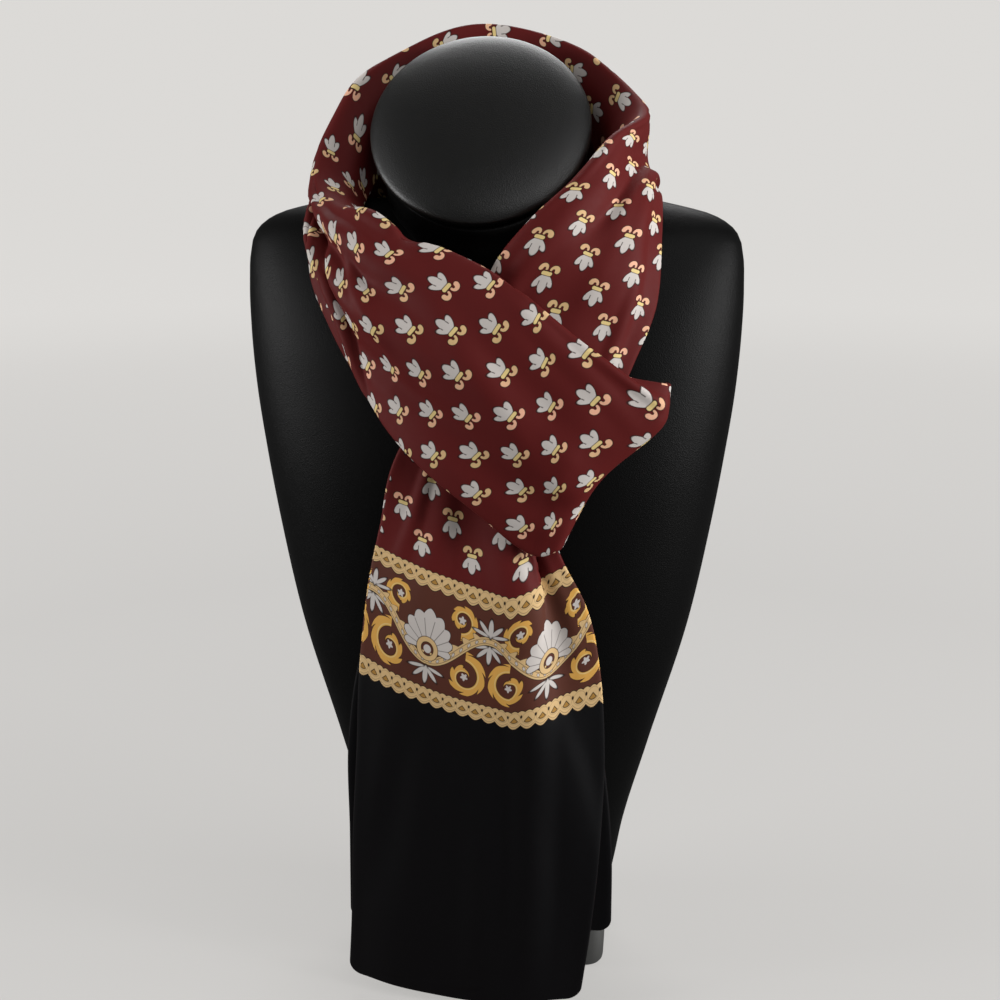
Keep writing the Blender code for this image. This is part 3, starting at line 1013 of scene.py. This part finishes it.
SMALL_FOLDS: list[Fold] = [
    # front tail: the panel that laps over the right part below the crossing, and soft folds in the plain end
    Fold(4.3, 7.6, 0.53, 0.73, 8.0, 0.22, 0.02, 1.0, 0.95),
    Fold(0.6, 4.2, 1.06, 0.62, 2.4, 0.16, 0.03, 1.0, 0.3),
    Fold(1.2, 3.6, 0.10, 0.20, -1.6, 0.10),
    Fold(0.0, 3.0, 0.46, 0.52, 1.5, 0.12),
    Fold(5.2, 7.8, 0.10, 0.26, 1.6, 0.06),
    # right stretch, gathered where it goes under the band and where it turns behind the neck
    Fold(8.0, 11.0, 0.40, 0.44, 2.6, 0.07, 0.01, 1.2),
    Fold(8.2, 10.6, 0.92, 0.84, 2.2, 0.06, 0.0, 1.2),
    Fold(9.4, 12.8, 0.46, 0.70, -2.2, 0.07, 0.03),
    Fold(11.0, 14.6, 0.88, 0.66, 2.0, 0.07),
    Fold(10.6, 13.6, 0.36, 0.40, 1.6, 0.05),
    # behind the neck
    Fold(14.0, 17.6, 0.62, 0.70, -2.4, 0.07, 0.02),
    Fold(15.2, 19.0, 0.88, 0.64, 2.6, 0.08, -0.02),
    Fold(14.6, 16.8, 0.34, 0.38, 1.4, 0.05),
    Fold(16.8, 19.6, 0.40, 0.36, 1.6, 0.05),
    # left shoulder: narrow pleats that fan out, and the rolled edge above them
    Fold(21.2, 24.6, 0.40, 0.98, -3.6, 0.06, 0.02, 1.4, 0.4),
    Fold(21.0, 24.8, 0.52, 1.06, 3.4, 0.07, 0.02, 1.3),
    Fold(21.6, 25.4, 0.36, 0.78, 2.4, 0.06, 0.02, 1.4),
    Fold(20.4, 23.6, 0.60, 0.92, 2.6, 0.05, 0.0, 1.5),
    Fold(22.5, 24.1, 0.26, 0.26, 4.6, 0.11, 0.0, 1.3),
    Fold(23.85, 24.6, 0.26, 0.26, -2.6, 0.20),
    Fold(23.9, 27.0, 0.24, 0.24, -4.0, 0.24),
    # band: long soft diagonals, and the lower edge that stands off the cloth below it
    Fold(24.2, 28.6, 1.0, 1.0, 6.5, 0.24),
    Fold(23.6, 28.6, 0.40, 0.72, 1.8, 0.09, 0.02),
    Fold(25.4, 29.8, 0.50, 0.58, -1.6, 0.08),
    Fold(26.2, 30.0, 0.36, 0.42, 1.3, 0.06),
    Fold(28.2, 30.3, 0.30, 0.14, 2.4, 0.12, 0.0, 1.2),
    # turn and back tail
    Fold(31.4, 35.0, 0.44, 0.60, -1.0, 0.10),
    Fold(35.8, 39.0, 0.70, 0.62, 1.8, 0.12),
]


class Lay(NamedTuple):
    """How the woven cloth lies at a section, as what is added to the strip's own measure, in millimetres.

    `lean`, `sag`, `lap` and `spread` are for each 10 mm out from the crest; `sag` goes with the square of
    the distance, and `lap` only counts past the panel that laps over on the front end.
    """

    section: float
    along: float
    lean: float
    sag: float
    lap: float
    across: float
    spread: float


LAY: list[Lay] = [
    Lay(0.0, 0.0, 0.0, 0.0, 0.0, 20.9, -0.09),
    Lay(2.0, 6.0, 2.04, 0.07, -3.38, 13.2, 0.18),
    Lay(3.5, 10.2, 2.99, 0.04, -5.27, 7.3, 0.39),
    Lay(4.5, 13.2, 3.11, -0.06, -5.76, 3.4, 0.53),
    Lay(5.5, 16.3, 2.73, -0.19, -5.38, -0.6, 0.65),
    Lay(6.5, 16.5, 1.78, -0.24, -4.04, -4.7, 0.76),
    Lay(8.0, 13.2, -0.72, -0.20, -1.45, -9.3, 0.98),
    Lay(9.2, 11.5, -2.29, -0.09, 0.0, -9.7, 1.25),
    Lay(10.4, 12.7, -2.76, 0.03, 0.0, -5.6, 1.54),
    Lay(12.0, 12.8, -2.96, 0.09, 0.0, 2.4, 1.50),
    Lay(14.0, 12.4, -2.70, 0.09, 0.0, 12.0, 1.40),
    Lay(17.0, 10.0, -1.80, 0.00, 0.0, 26.0, 1.20),
    Lay(20.0, 7.0, -1.00, -0.10, 0.0, 39.0, 1.50),
    Lay(21.6, 5.2, -0.40, -0.15, 0.0, 45.5, 2.20),
    Lay(22.4, 4.8, -0.15, -0.16, 0.0, 45.0, 2.30),
    Lay(22.9, 7.4, 0.57, -0.15, 0.0, 22.5, 4.20),
    Lay(23.35, 7.9, 1.20, -0.14, 0.0, 10.5, 3.60),
    Lay(23.8, 6.1, 2.30, -0.12, 0.0, 7.2, 2.10),
    Lay(24.5, 3.1, 2.70, -0.07, 0.0, 3.7, 1.25),
    Lay(26.0, -4.9, 2.75, 0.08, 0.0, -1.9, -0.57),
    Lay(27.5, -7.1, 2.38, 0.20, 0.0, -0.6, -1.18),
    Lay(29.0, 5.4, 2.19, 0.15, 0.0, 4.0, -0.94),
    Lay(30.3, 12.3, 2.69, 0.14, 0.0, 6.4, -0.68),
    Lay(33.0, 0.0, 2.46, 0.10, 0.0, 6.6, -0.34),
    Lay(39.0, 0.0, 0.0, 0.0, 0.0, 0.0, 0.0),
]


class Held(Enum):
    """What keeps a sheet in its place."""

    DRAPED = "draped"


class Stretch(NamedTuple):
    """A run of the scarf that is one piece here: its first and last section, its nodes and its slot."""

    name: str
    first: float
    last: float
    nodes: tuple[str, ...]
    slot: str
    held: Held = Held.DRAPED
    rests_on: tuple[str, ...] = ("bust_body",)


@dataclass
class ScarfStrip:
    """The scarf: doubled cloth lofted through its sections, with folds, rounded edges and its print."""

    finish: Print = field(default_factory=Print)
    thick: float = 2.0
    flat_width: float = 150.0  # of the folded scarf that shows
    edge_swell: float = 0.35  # how much thicker the cloth is at a folded edge
    edge_reach: float = 5.0
    step_along: float = 2.2
    columns: int = 76
    edge_points: int = 5
    slope_step: float = 0.004
    lap_from: float = 45.0  # where the lapping panel ends, out from the crest
    corner: float = 7.0  # radius of the hems' corners
    corner_rows: tuple[float, ...] = (0.03, 0.09, 0.18, 0.30, 0.44, 0.60, 0.78)  # shares of that radius
    shift: np.ndarray = field(default_factory=lambda: np.zeros(3))
    stretches: tuple[Stretch, ...] = (
        Stretch("scarf_front_end", 0.0, 8.0, ("scarf_front_tail",), "scarf_end"),
        Stretch(
            "scarf_wound_part", 8.0, 33.0,
            ("scarf_right_stretch", "scarf_collar_back", "scarf_left_stretch", "scarf_crossing_band",
             "scarf_tuck"),
            "scarf_print",
        ),
        Stretch("scarf_back_end", 33.0, 39.0, ("scarf_back_tail",), "scarf_end"),
    )

    knots_across = np.array([0.0, 0.15, 0.3, 0.65, 1.0])
    uv_map = "cloth"

    def __post_init__(self) -> None:
        """Works out the guide lines that the strip is lofted through."""
        inner, crest, outer = (
            np.array([getattr(row, edge) for row in SECTIONS], float) for edge in ("inner", "crest", "outer")
        )
        bow_in, bow_out = (
            np.array([[getattr(row, bow)] for row in SECTIONS], float) for bow in ("bow_in", "bow_out")
        )
        middle = (crest + outer) / 2
        steps = np.linalg.norm(np.diff(middle, axis=0), axis=1)
        self.distance = np.concatenate([[0.0], np.cumsum(steps)])
        along = np.gradient(middle, self.distance, axis=0)
        swell_in = unit(np.cross(crest - inner, along))
        swell_out = unit(np.cross(outer - crest, along))
        flap = (inner + crest) / 2 + swell_in * bow_in
        pull = np.array([row.pull for row in SECTIONS], float)
        panel = (crest + outer) / 2 + swell_out * bow_out + pull
        self.guides = np.stack([inner, flap, crest, panel, outer], axis=1)

    @property
    def length(self) -> float:
        """The strip's whole length, along its middle."""
        return float(self.distance[-1])

    def bare(self, places: np.ndarray, shares: np.ndarray) -> np.ndarray:
        """Points of the strip before its folds, at distances along it and shares of its width."""
        guides = curve_through(self.distance, self.guides, places)
        return curve_through(self.knots_across, guides.transpose(1, 0, 2), shares).transpose(1, 0, 2)

    def normals(self, surface: Callable[[np.ndarray, np.ndarray], np.ndarray], places: np.ndarray,
                shares: np.ndarray) -> np.ndarray:
        """Unit vectors out of a surface, away from the bust where the cloth lies on it.

        Args:
            surface: gives the surface's points at distances along and shares across.
            places: the distances along.
            shares: the shares across.

        Returns:
            One vector for each point.
        """
        left, right = np.maximum(shares - self.slope_step, 0), np.minimum(shares + self.slope_step, 1)
        span = self.slope_step * self.length / len(self.distance)
        low, high = np.maximum(places - span, 0), np.minimum(places + span, self.length)
        across = surface(places, right) - surface(places, left)
        along = surface(high, shares) - surface(low, shares)
        return unit(np.cross(across, along))

    def sections_at(self, places: np.ndarray) -> np.ndarray:
        """Distances along the strip as section numbers."""
        return np.interp(places, self.distance, np.arange(len(self.distance)))

    def fold_height(self, places: np.ndarray, shares: np.ndarray) -> np.ndarray:
        """How far the folds lift the cloth off the bare strip.

        Args:
            places: distances along the strip.
            shares: shares of its width.

        Returns:
            The heights, row by row.
        """
        sections = self.sections_at(places)
        height = np.zeros((len(places), len(shares)))
        for fold in MAIN_FOLDS + SMALL_FOLDS:
            progress = (sections - fold.first) / (fold.last - fold.first)
            straight = fold.across_first + (fold.across_last - fold.across_first) * progress
            centre = straight + fold.bend * 4 * progress * (1 - progress)
            fade = smooth_bump(np.clip(2 * progress - 1, -1, 1)) ** 0.5
            offset = (shares[None, :] - centre[:, None]) / fold.half_width - fold.peak
            offset = np.where(offset < 0, offset / (1 + fold.peak), offset / (1 - fold.peak))
            height += fold.height * fade[:, None] * smooth_bump(offset) ** fold.sharp
        return height

    def folded(self, places: np.ndarray, shares: np.ndarray) -> np.ndarray:
        """Points of the strip with its folds."""
        lift = self.fold_height(places, shares)[:, :, None]
        return self.bare(places, shares) + self.normals(self.bare, places, shares) * lift

    def widths(self, middle: np.ndarray, shares: np.ndarray) -> np.ndarray:
        """Distance across the cloth from its crest, so that the print keeps its size.

        Args:
            middle: points of the cloth's middle layer, row by row.
            shares: their shares of the width.

        Returns:
            The distances, row by row.
        """
        steps = np.linalg.norm(np.diff(middle, axis=1), axis=2)
        run = np.concatenate([np.zeros((len(middle), 1)), np.cumsum(steps, axis=1)], axis=1)
        crest = int(np.argmin(np.abs(shares - self.knots_across[2])))
        return run - run[:, crest:crest + 1]

    def round_corners(self, places: np.ndarray, middle: np.ndarray, normals: np.ndarray,
                      run: np.ndarray) -> None:
        """Draws the rows beside the hems in at their ends, so that the hems' corners are round.

        Args:
            places: distance along the strip of each row.
            middle: the points of the rows, changed here.
            normals: the directions out of them, changed here.
            run: their distances out from the crest, changed here.
        """
        from_hem = np.minimum(places, self.length - places)
        for row in np.flatnonzero(from_hem < self.corner):
            rise = self.corner - from_hem[row]
            inset = self.corner - math.sqrt(self.corner**2 - rise**2)
            drawn_in = np.linspace(run[row, 0] + inset, run[row, -1] - inset, self.columns)
            for axis in range(3):
                middle[row, :, axis] = np.interp(drawn_in, run[row], middle[row, :, axis])
                normals[row, :, axis] = np.interp(drawn_in, run[row], normals[row, :, axis])
            run[row] = drawn_in

    def cloth_measure(self, places: np.ndarray, run: np.ndarray) -> tuple[np.ndarray, np.ndarray]:
        """Where points of the strip lie on the woven cloth, which leans and sags on the way.

        Args:
            places: distance along the strip of each row.
            run: distance out from the crest of each point, row by row.

        Returns:
            The cloth's own measure across and along, of the shape of `run`.
        """
        table = np.array(LAY, float)
        sections = self.sections_at(places)
        read = curve_through(table[:, 0], table[:, 1:], sections)
        along, lean, sag, lap, across, spread = read.T[:, :, None]
        tens = run / 10
        beyond = np.maximum(run - self.lap_from, 0) / 10
        on_cloth_along = places[:, None] + along + lean * tens + sag * tens**2 + lap * beyond
        return run + across + spread * tens, on_cloth_along

    def ends_of(self, stretch: Stretch) -> np.ndarray:
        """Distances along the strip where a stretch begins and ends."""
        return np.interp([stretch.first, stretch.last], np.arange(len(self.distance)), self.distance)

    def rows_of(self, stretch: Stretch) -> np.ndarray:
        """Distances along the strip of a stretch's rows, which lie closer beside the hems' round corners.

        Args:
            stretch: which run of the strip.

        Returns:
            The distances, rising.
        """
        first, last = self.ends_of(stretch)
        even = np.linspace(first, last, round((last - first) / self.step_along) + 1)
        near_hem = self.corner * np.array(self.corner_rows)
        places = np.unique(np.concatenate([even, near_hem, self.length - near_hem]))
        return places[(places >= first) & (places <= last)]

    def build_stretch(self, stretch: Stretch, material: bpy.types.Material) -> bpy.types.Object:
        """Makes one piece of the scarf as a closed shell with rounded edges.

        Args:
            stretch: which run of the strip.
            material: the printed finish.

        Returns:
            The new piece.
        """
        places = self.rows_of(stretch)
        shares = np.linspace(0, 1, self.columns)
        middle = self.folded(places, shares)
        normals = self.normals(self.folded, places, shares)
        run = self.widths(middle, shares)
        self.round_corners(places, middle, normals, run)
        to_edge = np.minimum(run - run[:, :1], run[:, -1:] - run)
        swell = self.edge_swell * np.exp(-((to_edge / self.edge_reach) ** 2))
        half = self.thick / 2 * (1 + swell)[:, :, None]
        turn = np.linspace(math.pi / 2, -math.pi / 2, self.edge_points + 2)[1:-1]
        edges = []
        for side, beside, face in ((-1, -2, 1), (0, 1, -1)):
            out = unit(middle[:, side] - middle[:, beside])
            reach = half[:, side][:, None]
            edges.append(
                middle[:, side][:, None]
                + reach * np.cos(turn)[None, :, None] * out[:, None]
                + reach * face * np.sin(turn)[None, :, None] * normals[:, side][:, None]
            )
        points = np.concatenate(
            [middle + normals * half, edges[0], (middle - normals * half)[:, ::-1], edges[1]], axis=1
        )
        across, along = self.cloth_measure(places, run)
        far = across[:, -1:]
        back = far + half[:, -1] * math.pi + (far - across[:, ::-1])
        round_far = far + half[:, -1] * (math.pi / 2 - turn)
        round_near = back[:, -1:] + half[:, 0] * (math.pi / 2 - turn)
        closing = round_near[:, -1:] + np.linalg.norm(points[:, -1] - points[:, 0], axis=1)[:, None]
        around = np.concatenate([across, round_far, back, round_near, closing], axis=1)
        edge_far = np.repeat(along[:, -1:], self.edge_points, axis=1)
        edge_near = np.repeat(along[:, :1], self.edge_points + 1, axis=1)
        marks = np.concatenate([along, edge_far, along[:, ::-1], edge_near], axis=1)
        faces = closed_tube_faces(len(places), points.shape[1])
        piece = make_piece(stretch.name, points.reshape(-1, 3), faces, material, self.shift)
        self.lay_measure(piece.data, around, marks)
        return piece

    def lay_measure(self, mesh: bpy.types.Mesh, around: np.ndarray, marks: np.ndarray) -> None:
        """Writes the cloth's own measure, in metres across and along, to the mesh's UV map.

        Args:
            mesh: a shell's mesh.
            around: the measure across at each point, row by row, the first point again at the row's end.
            marks: the measure along, in the same order.
        """
        layer = mesh.uv_layers.new(name=self.uv_map)
        count = around.shape[1] - 1
        corners = np.zeros(len(mesh.loops), int)
        mesh.loops.foreach_get("vertex_index", corners)
        row, column = corners // count, corners % count
        body = (len(marks) - 1) * count * 4
        closing = np.arange(len(corners))[:body].reshape(-1, 4)
        last_column = column[closing[:, 0]] == count - 1
        wrapped = column.copy()
        for corner in (1, 2):
            wrapped[closing[last_column, corner]] = count
        values = np.stack([around[row, wrapped], marks[row, wrapped]], axis=1) * MM
        layer.data.foreach_set("uv", values.astype(np.float32).ravel())

    def build(self) -> None:
        """Makes the scarf's pieces."""
        material = self.finish.material(self.length)
        for stretch in self.stretches:
            piece = self.build_stretch(stretch, material)
            declare(piece, stretch.slot, *stretch.nodes)


# ----------------------------------------------------------------------------------------------------
# The bust
# ----------------------------------------------------------------------------------------------------


class Level(NamedTuple):
    """A level section of the bust: its height, half its width, and its depth in front and behind."""

    height: float
    half_width: float
    front: float
    back: float


class Ring(NamedTuple):
    """A leaning oval of the neck: its centre, its lean in degrees, and half its width and length."""

    centre: Point
    lean: float
    half_width: float
    half_length: float


@dataclass
class Bust:
    """The limbless bust: body with its neck, cap and foot."""

    cover: Leatherette = field(default_factory=Leatherette)
    cap_cover: Leatherette = field(
        default_factory=lambda: Leatherette("cap_leatherette", linear(5, 5, 4), linear(8, 8, 7), 0.36, 0.4)
    )
    foot_finish: Moulded = field(default_factory=Moulded)
    shift: np.ndarray = field(default_factory=lambda: np.zeros(3))
    ring_points: int = 160
    squareness: float = 2.3
    foot_squareness: float = 10.0
    step: float = 5.0
    cap_centre: Point = (-6.8, -13.7, 525.3)
    cap_tilt: float = 50.0
    cap_half: tuple[float, float] = (65.5, 69.5)
    cap_thick: float = 6.7

    levels: tuple[Level, ...] = (
        Level(30.3, 75.5, 54, 46),
        Level(57, 80.7, 55, 46),
        Level(79, 84.5, 56, 46),
        Level(140, 100.5, 60, 47),
        Level(225, 124, 66, 49),
        Level(281, 134.5, 70, 50),
        Level(330, 142, 71, 51),
        Level(370, 147, 67, 52),
        Level(405, 149.3, 61, 52),
        Level(433, 149.5, 52, 49),
        Level(452, 148, 43, 43),
        Level(463, 144.5, 36, 37),
        Level(470, 137, 29, 31),
        Level(475, 126, 23, 25),
        Level(479, 110, 18, 21),
        Level(482, 96, 13, 16),
    )
    neck: tuple[Ring, ...] = (
        Ring((0, 0, 430), 0, 63, 44),
        Ring((0, 3, 455), 8, 64, 51),
        Ring((-2, 1, 480), 22, 61, 55),
        Ring((-4.5, -4, 501), 36, 60, 60),
        Ring((-6.8, -9.4, 519.1), 50, 60.5, 66.5),
    )
    neck_rings: int = 24
    cap_profile: tuple[tuple[float, float], ...] = (
        (0.0, 0.955), (0.10, 0.975), (0.30, 0.985), (0.60, 0.985), (0.80, 0.975), (1.00, 0.950),
        (1.25, 0.895), (1.50, 0.815), (1.74, 0.70), (1.94, 0.56), (2.08, 0.40), (2.16, 0.22),
    )
    cap_rings: int = 40
    foot: tuple[Level, ...] = (
        Level(0.0, 72.5, 51, 43),
        Level(0.6, 73.6, 52.1, 44.1),
        Level(2.0, 74.5, 53, 45),
        Level(28.8, 75.5, 54, 46),
        Level(29.6, 75.1, 53.6, 45.6),
        Level(30, 74.4, 52.9, 44.9),
    )

    def level_ring(self, level: Level, squareness: float) -> np.ndarray:
        """A rounded-off oblong at one height.

        Args:
            level: its height and sizes.
            squareness: 2 for an ellipse, more for flatter sides.

        Returns:
            Its points.
        """
        angles = np.linspace(0, 2 * math.pi, self.ring_points, endpoint=False)
        cosine, sine = np.cos(angles), np.sin(angles)
        power = 2 / squareness
        depth = np.where(sine < 0, level.front, level.back)
        x = level.half_width * np.sign(cosine) * np.abs(cosine) ** power
        y = depth * np.sign(sine) * np.abs(sine) ** power
        return np.stack([x, y, np.full(self.ring_points, float(level.height))], axis=1)

    def leaning_ring(self, centre: Sequence[float], lean: float, half_width: float,
                     half_length: float) -> np.ndarray:
        """An ellipse that leans forward.

        Args:
            centre: its middle.
            lean: how far it leans, in degrees.
            half_width: half its size from side to side.
            half_length: half its size the other way.

        Returns:
            Its points.
        """
        angles = np.linspace(0, 2 * math.pi, self.ring_points, endpoint=False)
        slope = math.radians(lean)
        back = np.array([0.0, math.cos(slope), math.sin(slope)])
        side = np.array([1.0, 0.0, 0.0])
        return (
            np.array(centre, float)
            + half_width * np.cos(angles)[:, None] * side
            + half_length * np.sin(angles)[:, None] * back
        )

    def loft(self, name: str, rings: Sequence[np.ndarray], material: bpy.types.Material) -> bpy.types.Object:
        """A closed piece through stacked rings."""
        faces = closed_tube_faces(len(rings), self.ring_points)
        return make_piece(name, np.concatenate(rings), faces, material, self.shift)

    def build_body(self, material: bpy.types.Material) -> None:
        """Shoulders, chest and waist.

        Args:
            material: the cover.
        """
        table = np.array(self.levels, float)
        heights = np.concatenate([
            np.linspace(low, high, max(2, round((high - low) / self.step)), endpoint=False)
            for low, high in zip(table[:, 0], table[1:, 0])
        ] + [table[-1:, 0]])
        rows = curve_through(table[:, 0], table, heights)
        rings = [self.level_ring(Level(*row), self.squareness) for row in rows]
        declare(self.loft("bust_body", rings, material), "bust_cover", "bust_form")

    def build_neck(self, material: bpy.types.Material) -> None:
        """The neck, which leans forward more and more.

        Args:
            material: the cover.
        """
        marks = np.arange(len(self.neck), dtype=float)
        rows = np.array([(*ring.centre, *ring[1:]) for ring in self.neck], float)
        smooth = curve_through(marks, rows, np.linspace(0, marks[-1], self.neck_rings))
        rings = [self.leaning_ring(row[:3], *row[3:]) for row in smooth]
        declare(self.loft("bust_neck", rings, material), "bust_cover", "bust_form")

    def build_cap(self, material: bpy.types.Material) -> None:
        """The domed cap on the neck.

        Args:
            material: its cover.
        """
        slope = math.radians(self.cap_tilt)
        outward = np.array([0.0, -math.sin(slope), math.cos(slope)])
        foot = np.array(self.cap_centre) - outward * self.cap_thick
        profile = np.array(self.cap_profile)
        marks = np.arange(len(profile), dtype=float)
        half_width, half_length = self.cap_half
        rings = [
            self.leaning_ring(
                foot + outward * rise * self.cap_thick, self.cap_tilt, half_width * size, half_length * size
            )
            for rise, size in curve_through(marks, profile, np.linspace(0, marks[-1], self.cap_rings))
        ]
        declare(self.loft("bust_cap", rings, material), "bust_cover", "neck_cap")

    def build_foot(self, material: bpy.types.Material) -> None:
        """The block that the bust stands on."""
        rings = [self.level_ring(level, self.foot_squareness) for level in self.foot]
        declare(self.loft("bust_block", rings, material), "foot_block", "bust_foot")

    def build(self) -> None:
        """Makes the body, the neck, the cap and the foot."""
        cover = self.cover.material()
        self.build_body(cover)
        self.build_neck(cover)
        self.build_cap(self.cap_cover.material())
        self.build_foot(self.foot_finish.material())


# ----------------------------------------------------------------------------------------------------
# Studio
# ----------------------------------------------------------------------------------------------------


class Softbox(NamedTuple):
    """An area light: its place and target in metres, its size and its power."""

    name: str
    place: Point
    target: Point
    size: tuple[float, float]
    power: float


@dataclass
class Studio:
    """Pale sweep of paper, soft lights and the camera."""

    shift: np.ndarray = field(default_factory=lambda: np.zeros(3))
    azimuth: float = 5.0
    elevation: float = 15.0
    distance: float = 0.9
    target: Point = (0.0035, 0.0, 0.2964)
    focal_px: float = 1429.0
    frame_px: float = 1000.0
    paper: Backdrop = field(default_factory=Backdrop)
    floor_radius: float = 2.6
    sweep_radius: float = 1.6
    wall_height: float = 2.4
    paper_turns: int = 96
    floor_rings: int = 12
    sweep_rings: int = 16
    ambient: float = 0.10
    ambient_colour: Colour = (1.0, 0.99, 0.98)
    lights: tuple[Softbox, ...] = (
        Softbox("front_low", (0.3, -1.9, 0.3), (0.0, 0.0, 0.35), (1.0, 0.6), 1.5),
        Softbox("front_high", (0.6, -1.35, 1.85), (0.0, 0.0, 0.45), (0.8, 0.5), 6.0),
        Softbox("left_low", (-1.9, -0.5, 0.6), (0.0, 0.0, 0.35), (0.9, 0.9), 33.0),
        Softbox("left_high", (-1.5, -0.5, 1.7), (0.0, 0.0, 0.35), (0.9, 0.9), 4.5),
        Softbox("right_low", (1.9, -0.5, 0.6), (0.0, 0.0, 0.35), (0.9, 0.9), 48.0),
        Softbox("right_high", (1.2, -0.8, 2.0), (0.0, 0.0, 0.4), (0.7, 0.7), 8.0),
        Softbox("behind_high", (0.0, 1.4, 1.9), (0.0, 0.0, 0.35), (1.3, 0.9), 28.0),
    )

    def build_paper(self) -> None:
        """A round floor that sweeps up into a wall on all sides."""
        turns = self.paper_turns
        profile = [(radius, 0.0) for radius in np.linspace(0.05, self.floor_radius, self.floor_rings)]
        for angle in np.linspace(0, math.pi / 2, self.sweep_rings)[1:]:
            profile.append((
                self.floor_radius + self.sweep_radius * math.sin(angle),
                self.sweep_radius * (1 - math.cos(angle)),
            ))
        profile.append((profile[-1][0], self.wall_height + self.sweep_radius))
        angles = np.linspace(0, 2 * math.pi, turns, endpoint=False)
        points = np.array([(r * math.cos(a), r * math.sin(a), z) for r, z in profile for a in angles]) / MM
        faces = [*grid_faces(len(profile), turns), tuple(range(turns))]
        floor = make_piece("paper_floor", points, faces, self.paper.material(), np.zeros(3))
        floor.visible_shadow = False
        floor.visible_diffuse = False
        floor.visible_glossy = False

    def build_lights(self) -> None:
        """Softboxes and an even light from all round."""
        for box in self.lights:
            light = bpy.data.lights.new(box.name, "AREA")
            light.shape = "RECTANGLE"
            light.size, light.size_y = box.size
            light.energy = box.power
            lamp = bpy.data.objects.new(box.name, light)
            lamp.location = box.place
            aim = Vector(box.target) - Vector(box.place)
            lamp.rotation_euler = aim.to_track_quat("-Z", "Y").to_euler()
            bpy.context.scene.collection.objects.link(lamp)
        world = bpy.data.worlds.new("studio")
        bpy.context.scene.world = world
        world.use_nodes = True
        background = world.node_tree.nodes["Background"]
        background.inputs["Color"].default_value = (*self.ambient_colour, 1.0)
        background.inputs["Strength"].default_value = self.ambient

    def build_camera(self) -> None:
        """The camera at the photograph's angle."""
        camera = bpy.data.cameras.new("camera")
        camera.lens_unit = "FOV"
        camera.angle = 2 * math.atan(self.frame_px / 2 / self.focal_px)
        camera.clip_start = 0.01
        holder = bpy.data.objects.new("camera", camera)
        target = Vector(self.target) + Vector(self.shift * MM)
        turn, rise = math.radians(self.azimuth), math.radians(self.elevation)
        back = Vector((math.sin(turn) * math.cos(rise), -math.cos(turn) * math.cos(rise), math.sin(rise)))
        holder.location = target + back * self.distance
        holder.rotation_euler = (-back).to_track_quat("-Z", "Y").to_euler()
        bpy.context.scene.collection.objects.link(holder)
        bpy.context.scene.camera = holder

    def build(self) -> None:
        """Makes the whole studio."""
        self.build_paper()
        self.build_lights()
        self.build_camera()
        bpy.context.scene.view_settings.view_transform = "Standard"


def frame_shift() -> np.ndarray:
    """How far the frame's origin lies from the sizes' own, read from the foot block.

    Returns:
        The way from one to the other, in millimetres.
    """
    low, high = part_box("bust_foot")
    return np.array([(low.x + high.x) / 2 / MM, (low.y + high.y) / 2 / MM - FOOT_MIDDLE, 0.0])


def main() -> None:
    """Builds the studio, the bust and the scarf."""
    logging.basicConfig(level=logging.INFO, format="%(name)s: %(message)s")
    shift = frame_shift()
    Studio(shift=shift).build()
    Bust(shift=shift).build()
    ScarfStrip(shift=shift).build()


if __name__ == "__main__":
    main()
